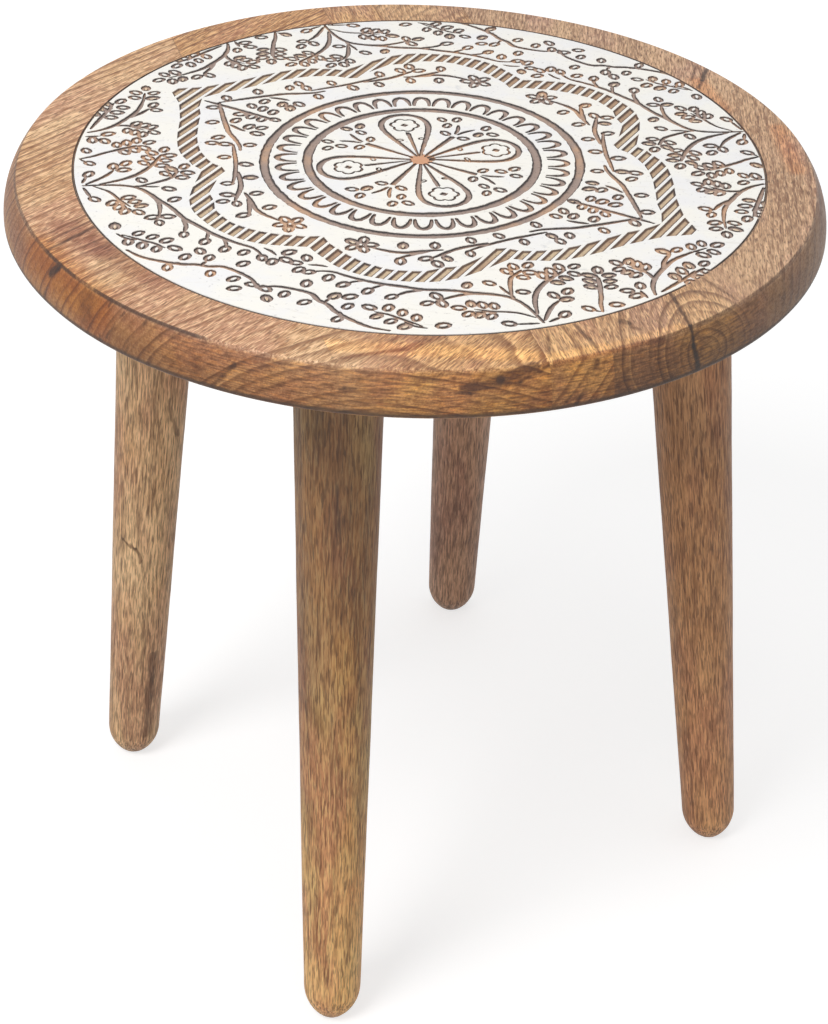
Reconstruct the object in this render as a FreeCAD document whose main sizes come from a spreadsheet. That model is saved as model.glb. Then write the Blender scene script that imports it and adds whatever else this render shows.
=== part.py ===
import FreeCAD, Part
import math
import os
import Sketcher
import PartDesign

from FreeCAD import Vector, Rotation, Placement

os.makedirs("parts", exist_ok=True)
doc = FreeCAD.newDocument("carved_table")

# Driving dimensions in millimetres, angles in degrees.
# Every angle in plan is counted from +X towards +Y. The front leg stands at -Y.
DIMENSIONS = [
    # top
    ("table_height", 450),
    ("top_diameter", 450),
    ("top_thickness", 24),
    ("edge_bulge", 7.8),
    ("bulge_depth", 21.5),
    ("board_angle", 117.6),
    ("glue_line_one", -97),
    ("glue_line_two", 2.3),
    ("glue_line_three", 35),
    ("glue_line_four", 86.6),
    # carved field, set a little off the centre of the top
    ("field_radius", 188.6),
    ("field_shift_x", 1.2),
    ("field_shift_y", 3.2),
    ("coat_thickness", 0.4),
    ("carving_depth", 1.4),
    ("border_line_width", 1.4),
    ("border_floor_share", 0.2),
    ("outer_ring_radius", 87.1),
    ("inner_ring_radius", 64.2),
    ("ring_groove_width", 3.8),
    ("ring_floor_share", 0.6),
    ("scallop_count", 40),
    ("scallop_foot_gap", 2.4),
    ("scallop_length", 12.9),
    ("scallop_foot_width", 8.8),
    ("scallop_tip_radius", 3.7),
    ("scallop_foot_stroke", 1.3),
    ("scallop_tip_stroke", 3),
    ("petal_start_radius", 7),
    ("petal_tip_radius", 58.4),
    ("petal_end_radius", 14.6),
    ("petal_side_radius", 64),
    ("petal_stroke", 3.6),
    ("petal_point_share", 3),
    ("petal_one_angle", 29.1),
    ("petal_two_angle", 113.1),
    ("petal_three_angle", 207.6),
    ("petal_four_angle", 298.6),
    # legs
    ("leg_top_diameter", 48.5),
    ("leg_foot_diameter", 33.2),
    ("foot_rounding_length", 20),
    ("foot_flat_diameter", 14.6),
    ("foot_trim", 0.6),
    ("front_reach", 145.4),
    ("front_azimuth", -94),
    ("front_splay", 7.9),
    ("front_heading", -78.5),
    ("right_reach", 149.7),
    ("right_azimuth", 0.5),
    ("right_splay", 7.1),
    ("right_heading", 0.6),
    ("back_reach", 145.4),
    ("back_azimuth", 85.4),
    ("back_splay", 7.9),
    ("back_heading", 105.2),
    ("left_reach", 143.7),
    ("left_azimuth", 181.6),
    ("left_splay", 5),
    ("left_heading", 175.2),
    # leg fixings
    ("bolt_diameter", 8),
    ("bolt_screw_length", 38),
    ("bolt_point_length", 6),
    ("bolt_chamfer", 0.8),
    ("insert_diameter", 12),
    ("insert_length", 15),
    ("insert_recess", 1.2),
    ("bore_end_space", 2),
    ("fit_clearance", 0.1),
    # overrun of every cutting shape past the material it cuts
    ("cut_overrun", 5),
]

sheet = doc.addObject("Spreadsheet::Sheet", "sizes")
for row, (alias, size) in enumerate(DIMENSIONS, start=1):
    sheet.set("A%d" % row, alias)
    sheet.set("B%d" % row, str(size))
    sheet.setAlias("B%d" % row, alias)
doc.recompute()

OUTER_RADIUS = "(sizes.top_diameter / 2)"
UNDERSIDE = "(sizes.table_height - sizes.top_thickness)"

# The sweep that a scallop's round end is drawn with, before its tangents set the true one
FIRST_SWEEP = 95


def size(expression):
    """The present value of an expression on the sheet."""
    value = sheet.evalExpression(expression)
    return float(getattr(value, "Value", value))


def angle_of(expression):
    """An angle expression with its unit, as rotation properties want it."""
    return "(%s) * 1 deg" % expression


# Sketch helpers

def new_sketch(body, name, plane="XZ_Plane", lift=None, turn=None):
    """A sketch on one of the body's own origin planes, lifted and turned on that plane."""
    sketch = body.newObject("Sketcher::SketchObject", name)
    plane_feature = [f for f in body.Origin.OriginFeatures if f.Role == plane][0]
    sketch.AttachmentSupport = [(plane_feature, "")]
    sketch.MapMode = "FlatFace"
    if lift:
        sketch.setExpression("AttachmentOffset.Base.z", lift)
    if turn:
        # The bound angle turns about the axis that this first placement gives it.
        sketch.AttachmentOffset = Placement(Vector(), Rotation(Vector(0, 0, 1), 1))
        sketch.setExpression("AttachmentOffset.Rotation.Angle", angle_of(turn))
    return sketch


def shift_to_field(sketch):
    """Move a sketch's origin from the centre of the top to the centre of the carved field."""
    sketch.setExpression("AttachmentOffset.Base.x", "sizes.field_shift_x")
    if sketch.AttachmentSupport[0][0].Role == "XZ_Plane":
        # The upright plane faces -Y, so its own depth counts backwards.
        sketch.setExpression("AttachmentOffset.Base.z", "-sizes.field_shift_y")
    else:
        sketch.setExpression("AttachmentOffset.Base.y", "sizes.field_shift_y")


def bind(sketch, index, expression):
    """Tie one constraint of a sketch to an expression."""
    sketch.setExpression("Constraints[%d]" % index, expression)


def pin_along(sketch, kind, geo, pos, expression):
    """Hold one coordinate of a point at an expression, counted from the sketch's origin."""
    value = size(expression)
    if value >= 0:
        index = sketch.addConstraint(Sketcher.Constraint(kind, -1, 1, geo, pos, value))
        bind(sketch, index, expression)
    else:
        index = sketch.addConstraint(Sketcher.Constraint(kind, geo, pos, -1, 1, -value))
        bind(sketch, index, "-(%s)" % expression)


def pin(sketch, geo, pos, across, along):
    """Hold a point at two expressions. None means on that axis."""
    if across is None:
        sketch.addConstraint(Sketcher.Constraint("PointOnObject", geo, pos, -2))
    else:
        pin_along(sketch, "DistanceX", geo, pos, across)
    if along is None:
        sketch.addConstraint(Sketcher.Constraint("PointOnObject", geo, pos, -1))
    else:
        pin_along(sketch, "DistanceY", geo, pos, along)


def point_at(across, along):
    """The present place of a pair of expressions."""
    return Vector(size(across) if across else 0, size(along) if along else 0, 0)


def add_line(sketch, start, end):
    return sketch.addGeometry(Part.LineSegment(point_at(*start), point_at(*end)), False)


def join(sketch, first, first_pos, second, second_pos):
    sketch.addConstraint(Sketcher.Constraint("Coincident", first, first_pos, second, second_pos))


def polygon(sketch, corners):
    """A closed outline of straight lines through corners given as pairs of expressions."""
    lines = [add_line(sketch, a, b) for a, b in zip(corners, corners[1:] + corners[:1])]
    for this, following in zip(lines, lines[1:] + lines[:1]):
        join(sketch, this, 2, following, 1)
    for line, corner in zip(lines, corners):
        pin(sketch, line, 1, *corner)
    return lines


def tangent(sketch, line, line_pos, arc, arc_pos):
    """Join a line or arc end to an arc end so that they share a tangent there."""
    sketch.addConstraint(Sketcher.Constraint("Tangent", line, line_pos, arc, arc_pos))


def set_radius(sketch, arc, expression):
    index = sketch.addConstraint(Sketcher.Constraint("Radius", arc, size(expression)))
    bind(sketch, index, expression)


def add_arc(sketch, centre, radius, start, end):
    """An arc drawn from its start angle to its end angle, in degrees, counter-clockwise."""
    circle = Part.Circle(point_at(*centre), Vector(0, 0, 1), size(radius))
    arc = Part.ArcOfCircle(circle, math.radians(start), math.radians(end))
    return sketch.addGeometry(arc, False)


# Feature helpers

def new_body(name):
    body = doc.addObject("PartDesign::Body", name)
    body.Label = name
    return body


def spin(body, sketch, name, groove=False):
    """Revolve a profile about the sketch's upright axis, as added or as cut material."""
    kind = "PartDesign::Groove" if groove else "PartDesign::Revolution"
    feature = body.newObject(kind, name)
    feature.Profile = sketch
    feature.ReferenceAxis = (sketch, ["V_Axis"])
    feature.Angle = 360
    feature.Refine = False
    return feature


def sink(body, sketch, name, depth):
    """Cut a sketch down from the top plane of the body."""
    pocket = body.newObject("PartDesign::Pocket", name)
    pocket.Profile = sketch
    pocket.Length = size(depth)
    pocket.setExpression("Length", depth)
    pocket.Refine = False
    return pocket


def slice_off(body, sketch, name):
    """Cut a sketch right through the body on both sides of its plane."""
    pocket = body.newObject("PartDesign::Pocket", name)
    pocket.Profile = sketch
    pocket.Type = "ThroughAll"
    pocket.Midplane = True
    return pocket


def boolean(kind, name, base, tool):
    result = doc.addObject(kind, name)
    result.Base = base
    result.Tool = tool
    result.Refine = False
    result.Label = name
    return result


# Top blank: the whole top in one revolved solid, before it is split into boards

top = new_body("top_blank")


def revolve_top():
    """Flat top, crisp arris, bulging band and a rounded lower edge."""
    sketch = new_sketch(top, "top_profile")
    arris = "(%s - sizes.edge_bulge)" % OUTER_RADIUS
    widest = "(sizes.table_height - sizes.bulge_depth)"
    lower_round = "(sizes.top_thickness - sizes.bulge_depth)"
    band_radius = "((sizes.edge_bulge ^ 2 + sizes.bulge_depth ^ 2) / (2 * sizes.edge_bulge))"
    band_start = math.degrees(math.asin(size("sizes.bulge_depth / " + band_radius)))
    face = add_line(sketch, (None, "sizes.table_height"), (arris, "sizes.table_height"))
    band_centre = ("%s - %s" % (OUTER_RADIUS, band_radius), widest)
    band = add_arc(sketch, band_centre, band_radius, 0, band_start)
    round_centre = ("%s - %s" % (OUTER_RADIUS, lower_round), widest)
    lower = add_arc(sketch, round_centre, lower_round, -90, 0)
    under = add_line(sketch, (round_centre[0], UNDERSIDE), (None, UNDERSIDE))
    axis = add_line(sketch, (None, UNDERSIDE), (None, "sizes.table_height"))
    join(sketch, face, 2, band, 2)
    join(sketch, band, 1, lower, 2)
    join(sketch, lower, 1, under, 1)
    join(sketch, under, 2, axis, 1)
    join(sketch, axis, 2, face, 1)
    pin(sketch, face, 1, None, "sizes.table_height")
    pin(sketch, face, 2, arris, "sizes.table_height")
    pin(sketch, band, 1, OUTER_RADIUS, widest)
    set_radius(sketch, band, band_radius)
    pin(sketch, lower, 3, *round_centre)
    pin_along(sketch, "DistanceX", under, 1, round_centre[0])
    pin(sketch, under, 2, None, UNDERSIDE)
    return spin(top, sketch, "top_round")


def cut_ring(name, radius, width, floor_share):
    """A ring groove with slanting walls. Its floor is a share of its width at the top."""
    sketch = new_sketch(top, name + "_section")
    shift_to_field(sketch)
    floor = "(sizes.table_height - sizes.carving_depth)"
    half = "%s / 2" % width
    half_floor = "%s / 2 * %s" % (width, floor_share)
    corners = [
        ("%s - %s" % (radius, half), "sizes.table_height"),
        ("%s - %s" % (radius, half_floor), floor),
        ("%s + %s" % (radius, half_floor), floor),
        ("%s + %s" % (radius, half), "sizes.table_height"),
    ]
    polygon(sketch, corners)
    return spin(top, sketch, name, groove=True)


def cut_scallops():
    """One crescent gouge cut on the +X side, repeated round the field's centre."""
    sketch = new_sketch(top, "scallop_outline", "XY_Plane", lift="sizes.table_height")
    shift_to_field(sketch)
    foot = "(sizes.inner_ring_radius + sizes.ring_groove_width / 2 + sizes.scallop_foot_gap)"
    tip = "(%s + sizes.scallop_length)" % foot
    inner_radius = "(sizes.scallop_tip_radius - sizes.scallop_foot_stroke)"
    outer = (tip + " - sizes.scallop_tip_radius", None), "sizes.scallop_tip_radius"
    inner = ("%s - sizes.scallop_tip_stroke - %s" % (tip, inner_radius), None), inner_radius
    outer_foot = "sizes.scallop_foot_width / 2"
    inner_foot = "(%s - sizes.scallop_foot_stroke)" % outer_foot
    arcs = []
    legs = []
    for (centre, radius), foot_width in ((outer, outer_foot), (inner, inner_foot)):
        arc = add_arc(sketch, centre, radius, -FIRST_SWEEP, FIRST_SWEEP)
        ends = sketch.Geometry[arc].StartPoint, sketch.Geometry[arc].EndPoint
        low_foot = point_at(foot, "-" + foot_width)
        high_foot = point_at(foot, foot_width)
        low = sketch.addGeometry(Part.LineSegment(low_foot, ends[0]), False)
        high = sketch.addGeometry(Part.LineSegment(high_foot, ends[1]), False)
        tangent(sketch, low, 2, arc, 1)
        tangent(sketch, high, 2, arc, 2)
        pin(sketch, arc, 3, centre[0], None)
        set_radius(sketch, arc, radius)
        pin(sketch, low, 1, foot, "-" + foot_width)
        pin(sketch, high, 1, foot, foot_width)
        arcs.append(arc)
        legs.append((low, high))
    for side, sign in ((0, "-"), (1, "")):
        cap = add_line(sketch, (foot, sign + inner_foot), (foot, sign + outer_foot))
        join(sketch, cap, 1, legs[1][side], 1)
        join(sketch, cap, 2, legs[0][side], 1)
    one = sink(top, sketch, "scallop", "sizes.carving_depth")
    doc.recompute()
    ring = top.newObject("PartDesign::PolarPattern", "scallop_ring")
    ring.Originals = [one]
    ring.Axis = (sketch, ["N_Axis"])
    ring.Angle = 360
    ring.Refine = False
    ring.setExpression("Occurrences", "sizes.scallop_count")
    top.Tip = ring
    return ring


def teardrop(sketch, start, tip, end_radius, side_radius):
    """A drop outline on the +X axis: two long side arcs from a point, closed by a round end."""
    end_centre = "(%s - %s)" % (tip, end_radius)
    x0, xc, r, big = size(start), size(end_centre), size(end_radius), size(side_radius)
    # The side arc's centre lies on the far side of the axis, where both distances agree.
    along, gap = xc - x0, big - r
    lean = math.acos((big * big + along * along - gap * gap) / (2 * big * along))
    side_centre = Vector(x0 + big * math.cos(lean), -big * math.sin(lean), 0)
    toward_end = math.atan2(-side_centre.y, xc - side_centre.x)
    toward_start = math.atan2(-side_centre.y, x0 - side_centre.x)
    drop = add_arc(sketch, (end_centre, None), end_radius,
                   -math.degrees(toward_end), math.degrees(toward_end))
    upper_circle = Part.Circle(side_centre, Vector(0, 0, 1), big)
    lower_circle = Part.Circle(Vector(side_centre.x, -side_centre.y, 0), Vector(0, 0, 1), big)
    upper = sketch.addGeometry(Part.ArcOfCircle(upper_circle, toward_end, toward_start), False)
    lower = sketch.addGeometry(Part.ArcOfCircle(lower_circle, -toward_start, -toward_end), False)
    tangent(sketch, upper, 1, drop, 2)
    tangent(sketch, lower, 2, drop, 1)
    join(sketch, upper, 2, lower, 1)
    pin(sketch, drop, 3, end_centre, None)
    set_radius(sketch, drop, end_radius)
    set_radius(sketch, upper, side_radius)
    set_radius(sketch, lower, side_radius)
    pin(sketch, upper, 2, start, None)


def cut_petal(number):
    """One drop-shaped groove, turned to its own angle on the field."""
    turn = "sizes.petal_%s_angle" % number
    sketch = new_sketch(top, "petal_%s_outline" % number, "XY_Plane", lift="sizes.table_height", turn=turn)
    shift_to_field(sketch)
    stroke = "sizes.petal_stroke"
    teardrop(sketch, "sizes.petal_start_radius", "sizes.petal_tip_radius",
             "sizes.petal_end_radius", "sizes.petal_side_radius")
    teardrop(sketch, "(sizes.petal_start_radius + sizes.petal_point_share * %s)" % stroke,
             "(sizes.petal_tip_radius - %s)" % stroke,
             "(sizes.petal_end_radius - %s)" % stroke,
             "(sizes.petal_side_radius - %s)" % stroke)
    return sink(top, sketch, "petal_%s" % number, "sizes.carving_depth")


revolve_top()
doc.recompute()
cut_ring("border_line", "sizes.field_radius", "sizes.border_line_width", "sizes.border_floor_share")
cut_ring("outer_ring", "sizes.outer_ring_radius", "sizes.ring_groove_width", "sizes.ring_floor_share")
cut_ring("inner_ring", "sizes.inner_ring_radius", "sizes.ring_groove_width", "sizes.ring_floor_share")
doc.recompute()
cut_scallops()
doc.recompute()
for number in ("one", "two", "three", "four"):
    cut_petal(number)
    doc.recompute()


# Leg places: each leg has a frame of its own, with its origin where the leg's axis crosses
# the underside of the top and its Z axis up along the leg.

LEG_SIDES = ("front", "right", "back", "left")


def leg_placement(side):
    """Expression that puts a piece of one leg's assembly on its slanting axis."""
    across = "sizes.%s_reach * cos(sizes.%s_azimuth * 1 deg)" % (side, side)
    along = "sizes.%s_reach * sin(sizes.%s_azimuth * 1 deg)" % (side, side)
    heading = "rotation(vector(0; 0; 1); sizes.%s_heading * 1 deg)" % side
    splay = "rotation(vector(0; 1; 0); -sizes.%s_splay * 1 deg)" % side
    return "placement(vector(%s; %s; %s); %s * %s)" % (across, along, UNDERSIDE, heading, splay)


def set_on_leg(piece, side):
    piece.setExpression("Placement", leg_placement(side))


def make_leg(side):
    """A turned, tapered leg, cut level under the top and at the floor, and bored for its bolt."""
    leg = new_body("leg_" + side)
    tilt = "tan(sizes.%s_splay * 1 deg)" % side
    lean = "cos(sizes.%s_splay * 1 deg)" % side
    top_radius = "(sizes.leg_top_diameter / 2)"
    foot_radius = "(sizes.leg_foot_diameter / 2)"
    flat_radius = "(sizes.foot_flat_diameter / 2)"
    above = "(%s * %s + sizes.cut_overrun)" % (top_radius, tilt)
    # The turned end reaches just past the floor, so that the level cut leaves a whole facet.
    length = "(%s / %s + %s * %s + sizes.foot_trim)" % (UNDERSIDE, lean, flat_radius, tilt)
    rounding_start = "-(%s - sizes.foot_rounding_length)" % length

    sketch = new_sketch(leg, "leg_profile_" + side)
    rounding_drop = "(%s - %s)" % (foot_radius, flat_radius)
    bend = "((%s ^ 2 + sizes.foot_rounding_length ^ 2) / (2 * %s))" % (rounding_drop, rounding_drop)
    head = add_line(sketch, (None, above), (top_radius, above))
    taper = add_line(sketch, (top_radius, above), (foot_radius, rounding_start))
    turn_down = math.degrees(math.asin(size("sizes.foot_rounding_length / " + bend)))
    bend_centre = ("%s - %s" % (foot_radius, bend), rounding_start)
    rounding = add_arc(sketch, bend_centre, bend, -turn_down, 0)
    flat = add_line(sketch, (flat_radius, "-" + length), (None, "-" + length))
    axis = add_line(sketch, (None, "-" + length), (None, above))
    join(sketch, head, 2, taper, 1)
    join(sketch, taper, 2, rounding, 2)
    join(sketch, rounding, 1, flat, 1)
    join(sketch, flat, 2, axis, 1)
    join(sketch, axis, 2, head, 1)
    pin(sketch, head, 1, None, above)
    pin(sketch, head, 2, top_radius, above)
    pin(sketch, taper, 2, foot_radius, rounding_start)
    pin(sketch, flat, 1, flat_radius, "-" + length)
    pin(sketch, flat, 2, None, "-" + length)
    set_radius(sketch, rounding, bend)
    spin(leg, sketch, "leg_round_" + side)
    doc.recompute()

    reach = "(%s + sizes.cut_overrun)" % top_radius
    head_cut = new_sketch(leg, "leg_head_cut_" + side)
    polygon(head_cut, [
        ("-" + reach, "%s * %s" % (reach, tilt)),
        (reach, "-%s * %s" % (reach, tilt)),
        (reach, "%s + %s" % (above, reach)),
        ("-" + reach, "%s + %s" % (above, reach)),
    ])
    slice_off(leg, head_cut, "leg_head_level_" + side)

    floor = "(%s / %s)" % (UNDERSIDE, lean)
    foot_cut = new_sketch(leg, "leg_foot_cut_" + side)
    polygon(foot_cut, [
        ("-" + reach, "-%s + %s * %s" % (floor, reach, tilt)),
        ("-" + reach, "-%s - %s" % (length, reach)),
        (reach, "-%s - %s" % (length, reach)),
        (reach, "-%s - %s * %s" % (floor, reach, tilt)),
    ])
    slice_off(leg, foot_cut, "leg_foot_level_" + side)
    doc.recompute()

    bore = new_sketch(leg, "leg_bore_circle_" + side, "XY_Plane", lift=above)
    bore_radius = "sizes.bolt_diameter / 2 + sizes.fit_clearance"
    circle = bore.addGeometry(Part.Circle(Vector(), Vector(0, 0, 1), size(bore_radius)), False)
    join(bore, circle, 3, -1, 1)
    set_radius(bore, circle, bore_radius)
    sink(leg, bore, "leg_bore_" + side,
         "%s + sizes.bolt_screw_length + sizes.bore_end_space" % above)
    set_on_leg(leg, side)
    return leg


def make_bolt(side):
    """A hanger bolt: a pointed screw end down in the leg and a chamfered bolt end up in the top."""
    bolt = new_body("hanger_bolt_" + side)
    sketch = new_sketch(bolt, "bolt_profile_" + side)
    radius = "(sizes.bolt_diameter / 2)"
    tip = "-sizes.bolt_screw_length"
    end = "(sizes.insert_recess + sizes.insert_length)"
    polygon(sketch, [
        (None, tip),
        (radius, "%s + sizes.bolt_point_length" % tip),
        (radius, "%s - sizes.bolt_chamfer" % end),
        ("%s - sizes.bolt_chamfer" % radius, end),
        (None, end),
    ])
    spin(bolt, sketch, "bolt_round_" + side)
    set_on_leg(bolt, side)
    return bolt


def make_insert(side):
    """A threaded insert sunk in the underside of the top, round the bolt end."""
    insert = new_body("threaded_insert_" + side)
    sketch = new_sketch(insert, "insert_profile_" + side)
    inner = "(sizes.bolt_diameter / 2 + sizes.fit_clearance)"
    outer = "(sizes.insert_diameter / 2)"
    end = "(sizes.insert_recess + sizes.insert_length)"
    polygon(sketch, [
        (inner, "sizes.insert_recess"),
        (outer, "sizes.insert_recess"),
        (outer, end),
        (inner, end),
    ])
    spin(insert, sketch, "insert_round_" + side)
    set_on_leg(insert, side)
    return insert


def make_insert_bore(side):
    """The slanting hole in the underside of the top for one insert."""
    bore = doc.addObject("Part::Cylinder", "insert_bore_" + side)
    bore.setExpression("Radius", "sizes.insert_diameter / 2 + sizes.fit_clearance")
    below = "(sizes.insert_diameter / 2 + sizes.cut_overrun)"
    depth = "(sizes.insert_recess + sizes.insert_length + sizes.bore_end_space)"
    bore.setExpression("Height", "%s + %s" % (below, depth))
    shift = "placement(vector(0; 0; -%s); rotation(vector(0; 0; 1); 0 deg))" % below
    bore.setExpression("Placement", "%s * %s" % (leg_placement(side), shift))
    return bore


legs = [make_leg(side) for side in LEG_SIDES]
bolts = [make_bolt(side) for side in LEG_SIDES]
inserts = [make_insert(side) for side in LEG_SIDES]
doc.recompute()


# Top split: the coat is the skin of the carved field, and the boards are the wood below it

bores = doc.addObject("Part::MultiFuse", "insert_bores")
bores.Shapes = [make_insert_bore(side) for side in LEG_SIDES]
bored_top = boolean("Part::Cut", "bored_top", top, bores)

coat_disc = doc.addObject("Part::Cylinder", "coat_disc")
coat_disc.setExpression("Radius", "sizes.field_radius")
coat_disc.setExpression("Height", "sizes.coat_thickness + sizes.cut_overrun")
coat_disc.setExpression("Placement.Base.x", "sizes.field_shift_x")
coat_disc.setExpression("Placement.Base.y", "sizes.field_shift_y")
coat_disc.setExpression("Placement.Base.z", "sizes.table_height - sizes.coat_thickness")
coat = boolean("Part::Common", "white_enamel_coat", bored_top, coat_disc)
bare_top = boolean("Part::Cut", "bare_top", bored_top, coat_disc)

GLUE_LINES = ["sizes.glue_line_%s" % number for number in ("one", "two", "three", "four")]
OUTSIDE = "(%s + sizes.cut_overrun)" % OUTER_RADIUS
BOARD_NAMES = ("board_left_edge", "board_left", "board_centre", "board_right", "board_right_edge")


def make_board(name, start, end):
    """The strip of the top between two glue lines, which run at the board angle."""
    strip = doc.addObject("Part::Box", name + "_strip")
    strip.setExpression("Length", "%s - %s" % (end, start))
    strip.setExpression("Width", "2 * %s" % OUTSIDE)
    strip.setExpression("Height", "sizes.top_thickness + 2 * sizes.cut_overrun")
    turn = "rotation(vector(0; 0; 1); (sizes.board_angle - 90) * 1 deg)"
    corner = "vector(%s; -%s; %s - sizes.cut_overrun)" % (start, OUTSIDE, UNDERSIDE)
    still = "rotation(vector(0; 0; 1); 0 deg)"
    strip.setExpression(
        "Placement",
        "placement(vector(0; 0; 0); %s) * placement(%s; %s)" % (turn, corner, still),
    )
    return boolean("Part::Common", name, bare_top, strip)


starts = ["-" + OUTSIDE] + GLUE_LINES
ends = GLUE_LINES + [OUTSIDE]
boards = [make_board(*strip) for strip in zip(BOARD_NAMES, starts, ends)]
doc.recompute()


# Check everything, then write one file for each piece

for item in doc.Objects:
    if "Invalid" in item.State or "Error" in item.State:
        raise RuntimeError("%s failed: %s" % (item.Name, item.State))

pieces = boards + [coat] + legs + bolts + inserts
for piece in pieces:
    shape = piece.Shape
    if shape.isNull() or not shape.isValid() or not shape.Solids:
        raise RuntimeError("%s has no valid solid" % piece.Label)

for piece in pieces:
    piece.Shape.exportStep("parts/%s.step" % piece.Label)
    print(piece.Label, len(piece.Shape.Solids), round(piece.Shape.Volume), len(piece.Shape.Faces))
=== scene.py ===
import random
from math import asin, cos, pi, radians, sin, tan

import bpy
import bmesh
import numpy as np
from mathutils import Matrix, Vector
from mathutils.geometry import delaunay_2d_cdt


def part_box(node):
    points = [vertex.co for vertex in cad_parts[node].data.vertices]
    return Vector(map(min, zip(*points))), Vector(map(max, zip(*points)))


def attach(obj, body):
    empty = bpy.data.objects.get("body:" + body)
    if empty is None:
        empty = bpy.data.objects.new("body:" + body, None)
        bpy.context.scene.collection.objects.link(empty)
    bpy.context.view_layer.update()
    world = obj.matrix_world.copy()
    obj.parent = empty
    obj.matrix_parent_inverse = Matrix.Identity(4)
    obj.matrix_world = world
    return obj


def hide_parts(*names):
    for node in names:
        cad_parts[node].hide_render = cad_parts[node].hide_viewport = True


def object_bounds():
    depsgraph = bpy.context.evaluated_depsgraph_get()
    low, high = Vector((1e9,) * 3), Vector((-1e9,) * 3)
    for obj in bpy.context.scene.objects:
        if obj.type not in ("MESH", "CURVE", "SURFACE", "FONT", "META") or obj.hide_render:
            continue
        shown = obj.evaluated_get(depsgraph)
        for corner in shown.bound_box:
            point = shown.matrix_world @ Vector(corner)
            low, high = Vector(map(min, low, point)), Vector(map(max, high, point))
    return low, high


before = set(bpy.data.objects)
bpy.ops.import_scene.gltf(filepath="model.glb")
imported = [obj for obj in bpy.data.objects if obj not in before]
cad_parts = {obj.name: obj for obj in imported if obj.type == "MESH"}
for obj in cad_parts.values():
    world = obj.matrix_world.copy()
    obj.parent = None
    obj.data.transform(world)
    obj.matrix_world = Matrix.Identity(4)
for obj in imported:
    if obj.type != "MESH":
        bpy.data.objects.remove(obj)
cad_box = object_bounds()

# Sizes in metres, read from the frame where the frame has them
MM = 0.001
LOW, HIGH = (Vector(corner) for corner in cad_box)
TOP_Z = HIGH.z
TOP_RADIUS = (HIGH.x - LOW.x) / 2
TOP_CENTRE = (HIGH.xy + LOW.xy) / 2
UNDERSIDE_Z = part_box("board_centre")[0].z
COAT_LOW, COAT_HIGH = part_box("white_enamel_coat")
BORDER_WIDTH = 1.4 * MM
FIELD_RADIUS = (COAT_HIGH.x - COAT_LOW.x + BORDER_WIDTH) / 2
FIELD_CENTRE = (COAT_HIGH.xy + COAT_LOW.xy) / 2
COAT_THICKNESS = COAT_HIGH.z - COAT_LOW.z
CARVING_DEPTH = 1.5 * MM

# The band round the edge bulges from a crisp arris out to its widest circle, then rounds under.
EDGE_BULGE = 7.8 * MM
BULGE_DEPTH = 21.5 * MM
ARRIS_RADIUS = TOP_RADIUS - EDGE_BULGE
ARRIS_ROUNDING = 0.9 * MM
# Steps round the top, a leg and a bore, and rows of the band, its underside, a leg's shaft and its foot
ROUND_SEGMENTS, LEG_SEGMENTS, BORE_SEGMENTS = 360, 96, 24
BAND_ROWS, UNDER_ROWS, SHAFT_ROWS, FOOT_ROWS = 14, 7, 60, 12
# The most that hand finishing took off the edge and the legs
EDGE_WORK, LEG_WORK = 0.3 * MM, 0.25 * MM

# Boards run at this angle in plan, between glue lines at these offsets across the grain.
BOARD_ANGLE = radians(117.6)
ACROSS = Vector((sin(BOARD_ANGLE), -cos(BOARD_ANGLE), 0))
GLUE_LINES = [offset * MM for offset in (-97, 2.3, 35, 86.6)]
BOARDS = ("board_left_edge", "board_left", "board_centre", "board_right", "board_right_edge")

# Legs: distance from the centre in millimetres, then azimuth, splay and heading in degrees
LEGS = {
    "leg_front": (145.4, -94, 7.9, -78.5),
    "leg_right": (149.7, 0.5, 7.1, 0.6),
    "leg_back": (145.4, 85.4, 7.9, 105.2),
    "leg_left": (143.7, 181.6, 5, 175.2),
}
LEG_TOP_RADIUS = 24.25 * MM
LEG_FOOT_RADIUS = 16.6 * MM
FOOT_FLAT_RADIUS = 7.3 * MM
FOOT_ROUNDING = 20 * MM
BORE_RADIUS = 4.1 * MM
BORE_DEPTH = 40 * MM
DRILL_TIP_RADIUS, DRILL_TIP_DEPTH = 0.8 * MM, 2 * MM
# The slant of a leg's top end levels out over this depth.
SLANT_DEPTH = 20 * MM
INSERT_BORE_RADIUS = 6.1 * MM
INSERT_BORE_DEPTH = 18.2 * MM
# The photograph looks along Y after this turn of the camera.
PHOTO_TURN = radians(10.6)

rng = random.Random(7)


# Curves in the plane of the top. Ornament lengths are shares of the field's radius.

def smooth_line(points, step, closed=False):
    """A Catmull-Rom curve through the points, sampled about every step."""
    points = [np.array(p, float) for p in points]
    if closed:
        around = points[-1:] + points + points[:2]
    else:
        around = [2 * points[0] - points[1]] + points + [2 * points[-1] - points[-2]]
    line = []
    for a, b, c, d in zip(around, around[1:], around[2:], around[3:]):
        pieces = max(1, round(float(np.linalg.norm(c - b)) / step))
        for k in range(pieces):
            t = k / pieces
            line.append(0.5 * (2 * b + (c - a) * t + (2 * a - 5 * b + 4 * c - d) * t * t
                               + (3 * b - a - 3 * c + d) * t ** 3))
    if not closed:
        line.append(points[-1])
    return np.array(line)


def left_of(way):
    """A plane vector turned a quarter to the left."""
    return np.array((-way[1], way[0]))


def turned(way, angle):
    return way * cos(angle) + left_of(way) * sin(angle)


def across_of(line, closed):
    """Unit vectors to the left of a line, one at each point."""
    along = np.roll(line, -1, 0) - np.roll(line, 1, 0) if closed else np.gradient(line, axis=0)
    along /= np.maximum(np.linalg.norm(along, axis=1, keepdims=True), 1e-12)
    return left_of(along.T).T


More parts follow.
